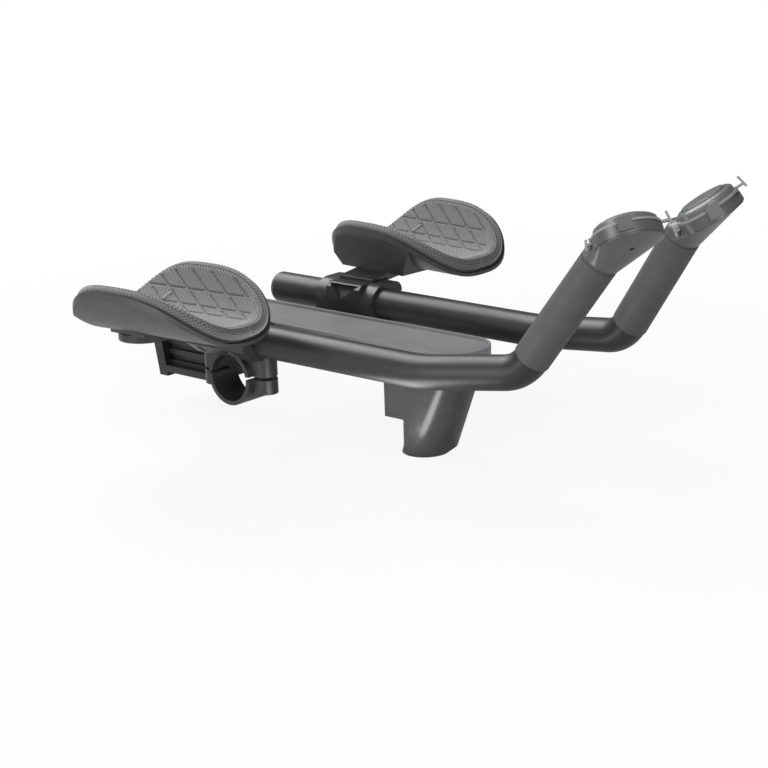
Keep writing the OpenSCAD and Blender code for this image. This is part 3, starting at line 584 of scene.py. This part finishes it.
def scatter_beads(name: str, spots: Sequence[tuple[Vector, Vector, Vector]], size: tuple[float, float, float],
                  finish: Moulded) -> bpy.types.Object:
    """Puts a small rounded bead on each spot and makes one plain mesh of them.

    Args:
        name: the piece's name.
        spots: each spot's place, direction and upward normal.
        size: the bead's length, width and height, in metres.
        finish: what the beads are made of.

    Returns:
        The new piece.
    """
    piece = mesh_object(name, [s[0] for s in spots], [])
    for key, part in (("along", 1), ("up", 2)):
        attribute = piece.data.attributes.new(key, "FLOAT_VECTOR", "POINT")
        attribute.data.foreach_set("vector", [c for s in spots for c in s[part]])
    modifier = piece.modifiers.new("beads", "NODES")
    modifier.node_group = BEADS
    sockets = {s.name: s.identifier for s in BEADS.interface.items_tree if s.in_out == "INPUT"}
    for key, value in zip(("Length", "Width", "Height"), size):
        modifier[sockets[key]] = value
    modifier[sockets["Finish"]] = WARDROBE.give(finish)
    flatten_modifiers(piece)
    return piece


# ---------------------------------------------------------------- tubes and grips


@dataclass
class ExtensionRun:
    """One extension tube with its grip sleeve, in millimetres and degrees."""

    side: Side
    radius: float = 11.1
    wall: float = 2.0
    tube_y: float = 60.5
    tube_z: float = 28.5
    rear: float = 74.0
    plug_cap: float = 4.0
    first_bend_x: float = 166.0
    middle_len: float = 71.4
    middle_rise: float = 7.2
    middle_toe: float = 6.6
    grip_rise: float = 54.3
    grip_toe: float = 10.1
    first_bend_r: float = 150.0
    second_bend_r: float = 27.0
    sleeve_wall: float = 0.6
    sleeve_len: float = 78.0
    sleeve_gap: float = 0.2
    ring_in: float = 1.5
    ring_depth: float = 0.55

    def aim(self, rise: float, toe: float) -> Vector:
        """The direction that rises and toes in by the given degrees."""
        rise, toe = math.radians(rise), math.radians(toe)
        return Vector((math.cos(rise) * math.cos(toe), -self.side.value * math.cos(rise) * math.sin(toe),
                       math.sin(rise)))

    @property
    def start(self) -> Vector:
        """The tube's rear end."""
        return Vector((self.plug_cap - self.rear, self.side.value * self.tube_y, self.tube_z))

    @property
    def corners(self) -> tuple[Vector, Vector]:
        """The corner points of the two bends."""
        first = Vector((self.first_bend_x, self.side.value * self.tube_y, self.tube_z))
        return first, first + self.middle_len * self.aim(self.middle_rise, self.middle_toe)

    @property
    def grip_way(self) -> Vector:
        """The direction of the grip."""
        return self.aim(self.grip_rise, self.grip_toe)

    def tangent_length(self, before: Vector, after: Vector, bend_r: float) -> float:
        """How far a bend starts before its corner."""
        return bend_r * math.tan(before.angle(after) / 2)

    def arc(self, corner: Vector, before: Vector, after: Vector, bend_r: float, steps: int) -> list[Vector]:
        """The centreline of a bend.

        Args:
            corner: the corner point.
            before: the direction into it.
            after: the direction out of it.
            bend_r: the centreline's radius.
            steps: how many steps it has.

        Returns:
            The points from the bend's start to its end.
        """
        angle = before.angle(after)
        inward = (after - before * math.cos(angle)).normalized()
        begin = corner - before * self.tangent_length(before, after, bend_r)
        turns = [angle * i / steps for i in range(steps + 1)]
        return [begin + bend_r * (math.sin(turn) * before + (1 - math.cos(turn)) * inward) for turn in turns]

    @property
    def sleeve_from(self) -> float:
        """Where the sleeve starts, from the second corner."""
        _, second = self.corners
        return self.tangent_length(self.aim(self.middle_rise, self.middle_toe), self.grip_way,
                                   self.second_bend_r) + self.sleeve_gap

    def centreline(self) -> list[Vector]:
        """The tube's whole centreline, finely stepped where it bends."""
        first, second = self.corners
        level = Vector((1, 0, 0))
        middle = self.aim(self.middle_rise, self.middle_toe)
        bend_1 = self.arc(first, level, middle, self.first_bend_r, 16)
        bend_2 = self.arc(second, middle, self.grip_way, self.second_bend_r, 28)
        end = second + (self.sleeve_from + self.sleeve_len) * self.grip_way
        points = [self.start.lerp(bend_1[0], i / 12) for i in range(12)] + bend_1
        points += [bend_1[-1].lerp(bend_2[0], i / 4) for i in range(1, 4)] + bend_2
        return points + [bend_2[-1].lerp(end, i / 6) for i in range(1, 7)]

    def build_tube(self) -> bpy.types.Object:
        """The hollow bent tube."""
        count = 72
        path = [p * MM for p in self.centreline()]
        outer = swept_rings(path, self.radius * MM, count)
        inner = swept_rings(path, (self.radius - self.wall) * MM, count)
        total = len(path) * count
        faces = grid_faces(len(path), count) + [f[::-1] for f in grid_faces(len(path), count, total)]
        for ring, flip in ((0, True), (len(path) - 1, False)):
            for j in range(count):
                k = (j + 1) % count
                here, ahead = ring * count + j, ring * count + k
                face = (here, ahead, total + ahead, total + here)
                faces.append(face[::-1] if flip else face)
        piece = mesh_object(f"{self.side.word}_bent_tube", outer + inner, faces)
        face_outwards(piece)
        piece.data.set_sharp_from_angle(angle=math.radians(50))
        WARDROBE.dress(piece, TUBE_PAINT)
        settle(piece, "frame", "tube", f"{self.side.word}_extension_tube")
        return piece

    def build_grip(self) -> bpy.types.Object:
        """The thin sleeve, with a pressed ring near its far end and rounded lips."""
        _, second = self.corners
        place = (Matrix.Translation(MM * (second + self.sleeve_from * self.grip_way))
                 @ self.grip_way.to_track_quat("Z", "Y").to_matrix().to_4x4())
        full = self.radius + self.sleeve_wall
        length = self.sleeve_len
        bore = self.radius + 0.04
        groove = length - self.ring_in
        floor = full - self.ring_depth
        outline = [(bore, 0.0), (full - 0.25, 0.0), (full - 0.05, 0.25), (full, 0.7),
                   (full, groove - 0.7), (floor, groove - 0.5), (floor, groove + 0.5), (full, groove + 0.7),
                   (full, length - 0.5), (full - 0.1, length - 0.1), (full - 0.3, length), (bore, length)]
        piece = revolved(f"{self.side.word}_grip", place, [(r * MM, z * MM) for r, z in outline], 72)
        piece.data.set_sharp_from_angle(angle=math.radians(40))
        WARDROBE.dress(piece, GRIP_RUBBER)
        settle(piece, "frame", "grip", f"{self.side.word}_grip_sleeve")
        return piece


# ---------------------------------------------------------------- armrests


@dataclass
class Armrest:
    """One cupped armrest: its pad, cover, stitching and tab, in millimetres and degrees.

    The quilting is drawn by distances along the pad's top from its middle line: row lines
    at fixed distances, and slanted lines that bend into them.
    """

    side: Side
    front: float = 73.5
    back: float = 48.5
    half_w: float = 50.8
    front_square: float = 2.7
    back_square: float = 3.1
    wing_h: float = 31.5
    wing_power: float = 2.8
    x: float = -1.0
    y: float = 123.5
    z: float = 47.1
    roll: float = 1.6
    toe: float = 5.0
    thickness: float = 9.5
    seam: float = 0.6
    row_lines: tuple[float, ...] = (33.0, 20.0, 11.0)
    cell_pitch: float = 16.8
    cell_phase: float = 11.8
    slant: float = 1.45
    channel: float = 0.62
    quilt_depth: float = 0.9
    cover: float = 0.35
    side_margin: float = 1.4
    front_margin: float = 9.4
    margin_fade: float = 1.2
    crown: float = 0.45
    foot: float = 0.3
    stitch_rows: tuple[tuple[float, float], ...] = ((0.0, 6.3), (1.55, 9.1))
    stitch_pitch: float = 2.6
    stitch_size: tuple[float, float, float] = (1.9, 0.9, 0.6)
    tab_ends: tuple[tuple[float, float], ...] = ((-17.0, 24.3), (-14.1, 32.7))
    tab_thick: float = 0.45
    spokes: int = 480
    rings: int = 96

    def wing(self, v: float) -> float:
        """Height of the trough's surface at v across it."""
        return self.wing_h * (abs(v) / self.half_w) ** self.wing_power

    def slope(self, v: float) -> float:
        """Slope of the trough's surface at v across it."""
        rise = self.wing_h * self.wing_power / self.half_w * (abs(v) / self.half_w) ** (self.wing_power - 1)
        return math.copysign(rise, v)

    def outline(self, turn: float) -> tuple[float, float]:
        """The outline's point at an angle from straight ahead, as (x, v)."""
        c, s = math.cos(turn), math.sin(turn)
        length, square = (self.front, self.front_square) if c > 0 else (self.back, self.back_square)
        return (length * math.copysign(abs(c) ** (2 / square), c),
                self.half_w * math.copysign(abs(s) ** (2 / square), s))

    def place(self, x: float, v: float, off: float) -> Vector:
        """A point that lies off the trough's surface, in metres in the part's frame.

        Args:
            x: how far forward of the armrest's middle.
            v: how far across, outwards.
            off: how far off the surface.

        Returns:
            The point.
        """
        s = self.slope(v)
        root = math.sqrt(1 + s * s)
        point = Vector((x, v - off * s / root, self.wing(v) + off / root))
        toed = Matrix.Rotation(math.radians(-self.toe), 3, "Z")
        rolled = Matrix.Rotation(math.radians(self.roll), 3, "X")
        point = (toed @ rolled) @ point + Vector((self.x, self.y, self.z))
        point.y *= self.side.value
        return point * MM

    def arc_table(self) -> tuple[np.ndarray, np.ndarray]:
        """Distance along the pad's top from its middle, against v."""
        vs = np.linspace(0, self.half_w, 200)
        slopes = np.array([self.slope(v) for v in vs])
        root = np.sqrt(1 + slopes * slopes)
        y = vs - self.thickness * slopes / root
        z = np.array([self.wing(v) for v in vs]) + self.thickness / root
        return vs, np.concatenate([[0], np.cumsum(np.hypot(np.diff(y), np.diff(z)))])

    def pressed(self, x: float, across: float) -> float:
        """How deep the quilting is pressed at a place.

        Args:
            x: how far forward.
            across: distance along the surface from the pad's middle line.

        Returns:
            1 in the middle of a channel, and 0 clear of them.
        """
        phase = (x + self.slant * across - self.cell_phase) / self.cell_pitch
        from_slant = (phase - round(phase)) * self.cell_pitch / math.hypot(1, self.slant)
        slant_open = smooth_step(across, self.row_lines[-1] - 1.0, self.row_lines[-1] + 0.2)
        row_depth = 0.0
        for row in self.row_lines:
            node_phase = (x + self.slant * row - self.cell_phase) / self.cell_pitch
            to_node = (math.ceil(node_phase) - node_phase) * self.cell_pitch
            along = smooth_step(to_node, 2.6, 3.8)
            row_depth = max(row_depth, math.exp(-((across - row) / self.channel) ** 2) * along)
            under = row - across
            if 0.3 < under < 3.2:
                slant_open *= smooth_step(under, 2.0, 3.0)
        return max(row_depth, math.exp(-(from_slant / self.channel) ** 2) * slant_open)

    def margin(self, turn: float) -> float:
        """How far in the quilting stops at an angle from straight ahead: widest at the front."""
        ahead = max(math.cos(turn), 0.0)
        return self.side_margin + (self.front_margin - self.side_margin) * smooth_step(ahead, 0.35, 0.95)

    def edge_profile(self) -> list[tuple[float, float, float]]:
        """The pad's rounded edge from the cup up: inset, distance off the trough, and painted shade, dark
        against the cup and in the seam's groove.
        """
        top = self.thickness
        return [(3.6, self.foot, 1.0), (3.0, 0.5, 1.0), (2.8, 1.2, 1.0), (2.5, 1.8, 1.0), (1.4, 2.2, 0.8),
                (0.5, 2.7, 0.1), (0.1, 3.4, 0.0), (-0.1, 4.6, 0.0), (-0.1, 5.8, 0.0), (0.0, 6.8, 0.0),
                (0.2, 7.4, 0.2), (self.seam, 7.7, 1.0), (0.7, 8.2, 0.2), (1.2, 8.8, 0.0), (1.8, 9.3, 0.0),
                (2.5, top + 0.15, 0.0), (3.2, top + self.cover, 0.0)]

    def pad_points(self) -> tuple[list[Vector], list[tuple[float, float]], list[float], int]:
        """Works out the pad's outer points, from its lower edge to the middle of its top.

        Returns:
            The points, their places on the cloth, the painted shade of each (the quilting's depth
            in its channels and the edge profile's shade), and the number of rows of points.
        """
        table_v, table_s = self.arc_table()
        points, cloth, marks, spots = [], [], [], []
        run, last = 0.0, self.outline(0.0)
        for j in range(self.spokes):
            turn = 2 * math.pi * j / self.spokes
            ox, ov = self.outline(turn)
            run += math.hypot(ox - last[0], ov - last[1])
            last = (ox, ov)
            spots.append((ox, ov, math.hypot(ox, ov), run, self.margin(turn)))
        edge = self.edge_profile()
        for inset, off, shade in edge:
            for ox, ov, reach, run, _ in spots:
                share = 1 - inset / reach
                points.append(self.place(ox * share, ov * share, off))
                cloth.append((run * MM, (inset * 0.8 - off) * MM))
                marks.append(shade)
        inner = edge[-1][0]
        for i in range(1, self.rings):
            for ox, ov, reach, _, margin in spots:
                share = (1 - inner / reach) * (1 - i / self.rings)
                x, v = ox * share, ov * share
                across = float(np.interp(abs(v), table_v, table_s))
                inset = reach * (1 - share)
                depth = self.pressed(x, across) * smooth_step(inset, margin, margin + self.margin_fade)
                swell = self.crown * smooth_step(inset, margin + 2.5, margin - 2.0)
                high = self.thickness + self.cover + swell - self.quilt_depth * depth
                points.append(self.place(x, v, high))
                cloth.append((x * MM, math.copysign(across, v) * MM))
                marks.append(depth)
        points.append(self.place(0, 0, self.thickness + self.cover))
        cloth.append((0.0, 0.0))
        marks.append(0.0)
        return points, cloth, marks, len(edge) + self.rings - 1

    def build_pad(self) -> bpy.types.Object:
        """The foam pad in its quilted cover and knitted border."""
        points, cloth, marks, rows = self.pad_points()
        count = self.spokes
        faces = grid_faces(rows, count)
        tip = len(points) - 1
        faces += [((rows - 1) * count + j, (rows - 1) * count + (j + 1) % count, tip) for j in range(count)]
        base = len(points)
        for share in (0.8, 0.4):
            for j in range(count):
                ox, ov = self.outline(2 * math.pi * j / count)
                points.append(self.place(ox * share, ov * share, self.foot))
        points.append(self.place(0, 0, self.foot))
        cloth += [(0.0, 0.0)] * (len(points) - base)
        marks += [0.0] * (len(points) - base)
        for j in range(count):
            k = (j + 1) % count
            faces += [(base + j, base + k, k, j), (base + count + j, base + count + k, base + k, base + j),
                      (base + count + k, base + count + j, len(points) - 1)]
        piece = mesh_object(f"{self.side.word}_quilted_pad", points, faces)
        seam_row = next(i for i, part in enumerate(self.edge_profile()) if part[0] == self.seam)
        top_faces = range(seam_row * count, (rows - 1) * count + count)
        piece.data.polygons.foreach_set("material_index",
                                        [0 if k in top_faces else 1 for k in range(len(faces))])
        layer = piece.data.uv_layers.new(name="cloth")
        layer.data.foreach_set("uv", [c for loop in piece.data.loops for c in cloth[loop.vertex_index]])
        # the painted shade that the cloth reads: quilt channels, seam groove and the lower edge against the
        # cup
        painted_shade_layer = piece.data.attributes.new("pressed", "FLOAT", "POINT")
        painted_shade_layer.data.foreach_set("value", marks)
        face_outwards(piece, merge=False)
        WARDROBE.dress(piece, COVER_KNIT, BORDER_KNIT)
        settle(piece, "frame", "pad", f"{self.side.word}_armrest_pad")
        return piece

    def round_spots(self, inset: float, off: float) -> list[tuple[Vector, Vector, Vector]]:
        """Spots of one row of stitches round the pad.

        Args:
            inset: how far in from the outline.
            off: how far off the trough's surface.

        Returns:
            Each spot's place, direction and normal.
        """
        fine = 1600
        line = np.array([self.outline(2 * math.pi * j / fine) for j in range(fine + 1)])
        runs = np.concatenate([[0], np.cumsum(np.hypot(*np.diff(line, axis=0).T))])
        spots = []
        for i in range(int(runs[-1] / self.stitch_pitch)):
            at = self.stitch_pitch * i
            here, ahead = ([float(np.interp(run, runs, line[:, axis])) for axis in (0, 1)]
                           for run in (at, at + 0.3))
            share = 1 - inset / math.hypot(*here)
            place = self.place(here[0] * share, here[1] * share, off)
            beyond = self.place(ahead[0] * share, ahead[1] * share, off)
            above = self.place(here[0] * share, here[1] * share, off + 1)
            spots.append((place, (beyond - place).normalized(), (above - place).normalized()))
        return spots

    def build_stitches(self) -> bpy.types.Object:
        """The twin rows of stitches along the seam of cover and border."""
        spots = [spot for inset, off in self.stitch_rows for spot in self.round_spots(inset, off)]
        size = tuple(length * MM for length in self.stitch_size)
        piece = scatter_beads(f"{self.side.word}_pad_stitches", spots, size, THREAD)
        settle(piece, "frame", "pad")
        return piece

    def build_tab(self) -> bpy.types.Object:
        """The small tape tab sewn on the cover."""
        start, end = self.tab_ends
        thick = self.tab_thick
        points, faces = [], []
        steps = 8
        for i in range(steps + 1):
            share = i / steps
            x = start[0] * (1 - share) + end[0] * share
            v = start[1] * (1 - share) + end[1] * share
            lift = self.thickness + 0.55 + 0.5 * math.sin(math.pi * share)
            for dx, dv, up in ((-0.5, 0.2, 0.0), (0.5, -0.2, 0.0), (0.5, -0.2, thick), (-0.5, 0.2, thick)):
                points.append(self.place(x + dx, (v + dv) * self.side.value, lift + up))
        for i in range(steps):
            for j in range(4):
                k = (j + 1) % 4
                faces.append((i * 4 + j, i * 4 + k, i * 4 + 4 + k, i * 4 + 4 + j))
        faces += [(3, 2, 1, 0), (steps * 4, steps * 4 + 1, steps * 4 + 2, steps * 4 + 3)]
        piece = mesh_object(f"{self.side.word}_pad_tab", points, faces, smooth=False)
        face_outwards(piece)
        WARDROBE.dress(piece, TAB_TAPE)
        settle(piece, "frame", "pad")
        return piece


# ---------------------------------------------------------------- rigid pieces from the frame


@dataclass
class SoftenedPiece:
    """A rigid piece of the frame, with its edges broken as a mould or a forging leaves them."""

    node: str
    body: str
    slot: str
    finish: Moulded
    edge: float = 0.4
    segments: int = 2
    sharp: float = 32.0

    def build(self) -> bpy.types.Object:
        """Copies the node's mesh, rounds its edges and dresses it."""
        piece = bpy.data.objects.new(f"{self.node}_dressed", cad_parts[self.node].data.copy())
        bpy.context.scene.collection.objects.link(piece)
        shell = bmesh.new()
        shell.from_mesh(piece.data)
        bmesh.ops.remove_doubles(shell, verts=shell.verts, dist=2e-6)
        bmesh.ops.dissolve_limit(shell, angle_limit=math.radians(0.6), verts=shell.verts, edges=shell.edges)
        shell.to_mesh(piece.data)
        shell.free()
        piece.data.polygons.foreach_set("use_smooth", [True] * len(piece.data.polygons))
        if piece.data.has_custom_normals:
            with bpy.context.temp_override(object=piece, active_object=piece):
                bpy.ops.mesh.customdata_custom_splitnormals_clear()
        if self.edge > 0:
            bevel = piece.modifiers.new("edges", "BEVEL")
            bevel.width = self.edge * MM
            bevel.segments = self.segments
            bevel.limit_method = "ANGLE"
            bevel.angle_limit = math.radians(self.sharp)
            bevel.miter_outer = "MITER_ARC"
            weighted = piece.modifiers.new("shading", "WEIGHTED_NORMAL")
            weighted.keep_sharp = True
            flatten_modifiers(piece)
        piece.data.set_sharp_from_angle(angle=math.radians(50))
        WARDROBE.dress(piece, self.finish)
        settle(piece, self.body, self.slot, self.node)
        return piece


def rigid_pieces() -> Iterable[SoftenedPiece]:
    """Each rigid node that keeps its CAD form, with its finish and edge."""
    for side in Side:
        word = side.word
        yield SoftenedPiece(f"{word}_end_plug", "frame", "plug", PLUG_PLASTIC, 0.3)
        yield SoftenedPiece(f"{word}_tube_bracket", "frame", "bracket", FORGED, 0.8, 3)
        yield SoftenedPiece(f"{word}_lower_clamp", "frame", "bracket", FORGED, 0.8, 3)
        yield SoftenedPiece(f"{word}_armrest_plate", "frame", "plate", FORGED, 0.6, 3)
        yield SoftenedPiece(f"{word}_armrest_cup", "frame", "cup", SHELL_PLASTIC, 1.1, 3)
        yield SoftenedPiece(f"{word}_pod_base", "frame", "pod", POD_PLASTIC, 0.4, 2)
        yield SoftenedPiece(f"{word}_puck_shell", "frame", "puck", PUCK_PLASTIC, 0.3, 2)
        yield SoftenedPiece(f"{word}_coin_cell", "frame", "cell", CELL_STEEL, 0.2)
        yield SoftenedPiece(f"{word}_puck_board", "frame", "board", BOARD_RESIN, 0.0)
        yield SoftenedPiece(f"{word}_puck_button", f"{word}_button", "button", BUTTON_RUBBER, 0.2)
        yield SoftenedPiece(f"{word}_retaining_strap", "frame", "strap", STRAP_RUBBER, 0.25)
    yield SoftenedPiece("tray", "frame", "tray", TRAY_PLASTIC, 0.4, 2)
    yield SoftenedPiece("nose_housing", "frame", "housing", NOSE_PLASTIC, 0.8, 3)
    yield SoftenedPiece("rear_block", "frame", "housing", BLOCK_PLASTIC, 0.5, 2)
    for node in ("clamp_bolts", "pinch_bolts", "plate_screws", "armrest_bolts", "pod_grub_screws",
                 "tray_screws", "block_screws"):
        yield SoftenedPiece(node, "frame", "screws", SCREW_STEEL, 0.2)


# ---------------------------------------------------------------- studio


@dataclass
class Studio:
    """The camera, the floor and the plain soft light."""

    azimuth: float = -48.2351
    elevation: float = 15.8963
    roll: float = -2.0731
    lens: float = 96.4
    spot: tuple[float, float, float] = (0.96301, -0.98978, 0.37054)
    aim: tuple[float, float, float] = (0.1, 0.0, 0.03)
    surround: float = 0.22
    floor_glow: float = 0.9
    floor_fade: tuple[float, float] = (0.2, 0.85)
    floor_reach: float = 12.0

    def camera(self) -> None:
        """Sets the camera at the photograph's viewing angle."""
        a, e, r = (math.radians(v) for v in (self.azimuth, self.elevation, self.roll))
        back = Vector((math.cos(e) * math.cos(a), math.cos(e) * math.sin(a), math.sin(e)))
        level = (-back).cross(Vector((0, 0, 1))).normalized()
        rise = level.cross(-back)
        right = math.cos(r) * level + math.sin(r) * rise
        up = -math.sin(r) * level + math.cos(r) * rise
        data = bpy.data.cameras.new("camera")
        data.lens = self.lens
        data.sensor_width = 36.0
        data.clip_start = 0.01
        camera = bpy.data.objects.new("camera", data)
        bpy.context.scene.collection.objects.link(camera)
        camera.matrix_world = Matrix.Translation(self.spot) @ Matrix((right, up, back)).transposed().to_4x4()
        bpy.context.scene.camera = camera

    def lamp(self, name: str, spot: Sequence[float], size: tuple[float, float], power: float,
             lies_at: Optional[float] = None) -> None:
        """Adds a soft lamp that points at the part, or lies on the floor and points up.

        Args:
            name: the lamp's name.
            spot: where it hangs.
            size: its width and height, in metres.
            power: its power, in watts.
            lies_at: for a lamp that lies on the floor, the turn of its width from the X axis, in degrees.
        """
        data = bpy.data.lights.new(name, "AREA")
        data.shape = "RECTANGLE"
        data.size, data.size_y = size
        data.energy = power
        lamp = bpy.data.objects.new(name, data)
        bpy.context.scene.collection.objects.link(lamp)
        lamp.location = spot
        if lies_at is None:
            lamp.rotation_euler = (Vector(self.aim) - Vector(spot)).to_track_quat("-Z", "Y").to_euler()
        else:
            lamp.rotation_euler = (math.pi, 0.0, math.radians(lies_at))
        lamp.visible_camera = False

    def floor(self) -> None:
        """Lays the pale floor, which fades into the white surround beyond the part's shadow."""
        low = CAD_BOX[0][2] - 0.0005
        reach = self.floor_reach
        floor = mesh_object("floor", [(-reach, -reach, low), (reach, -reach, low), (reach, reach, low),
                                      (-reach, reach, low)], [(0, 1, 2, 3)], smooth=False)
        material, wiring, shader = start_material("floor paint")
        shader.inputs["Base Color"].default_value = (0.5, 0.5, 0.5, 1)
        shader.inputs["Roughness"].default_value = 0.9
        path = wiring.add("ShaderNodeLightPath")
        glow = wiring.add("ShaderNodeEmission", {"Color": (1, 1, 1, 1), "Strength": 1.0})
        place = wiring.add("ShaderNodeTexCoord").outputs["Object"]
        away = wiring.add("ShaderNodeVectorMath", {0: place}, operation="LENGTH")
        near, far = self.floor_fade
        fade = wiring.add("ShaderNodeMapRange",
                          {"Value": away.outputs["Value"], "From Min": near, "From Max": far,
                           "To Min": self.floor_glow, "To Max": 1.0}, interpolation_type="SMOOTHSTEP")
        share = wiring.maths("MULTIPLY", path.outputs["Is Camera Ray"], fade.outputs[0])
        mixed = wiring.add("ShaderNodeMixShader", {0: share, 1: shader.outputs[0], 2: glow.outputs[0]})
        output = next(n for n in wiring.tree.nodes if n.type == "OUTPUT_MATERIAL")
        wiring.tree.links.new(mixed.outputs[0], output.inputs["Surface"])
        floor.data.materials.append(material)

    def world(self) -> None:
        """Gives a white surround to the camera and a plain soft light to the part."""
        world = bpy.data.worlds.new("studio")
        world.use_nodes = True
        world.node_tree.nodes.clear()
        wiring = Wiring(world.node_tree)
        path = wiring.add("ShaderNodeLightPath")
        light = wiring.add("ShaderNodeBackground", {"Color": (1, 1, 1, 1), "Strength": self.surround})
        seen = wiring.add("ShaderNodeBackground", {"Color": (1, 1, 1, 1), "Strength": 1.0})
        mixed = wiring.add("ShaderNodeMixShader", {0: path.outputs["Is Camera Ray"], 1: light.outputs[0],
                                                   2: seen.outputs[0]})
        wiring.add("ShaderNodeOutputWorld", {"Surface": mixed.outputs[0]})
        bpy.context.scene.world = world

    def build(self) -> None:
        """Sets up the whole studio."""
        self.camera()
        self.floor()
        self.world()
        self.lamp("rear softbox", (-1.0, 0.1, 1.25), (1.3, 1.3), 34.0)
        self.lamp("side strip", (-0.2, -1.35, 0.25), (0.5, 1.3), 15.0)
        self.lamp("front softbox", (1.25, -0.8, 0.7), (0.9, 0.9), 17.0)
        self.lamp("low strip", (0.126, -0.105, CAD_BOX[0][2]), (0.112, 0.05), 0.13, -60.0)
        bpy.context.scene.view_settings.view_transform = "Standard"


def main() -> None:
    """Builds the studio and every piece in order."""
    logging.basicConfig(level=logging.INFO, format="%(message)s")
    Studio().build()
    for side in Side:
        run = ExtensionRun(side)
        run.build_tube()
        run.build_grip()
        armrest = Armrest(side)
        armrest.build_pad()
        armrest.build_stitches()
        armrest.build_tab()
    for piece in rigid_pieces():
        piece.build()


if __name__ == "__main__":
    main()
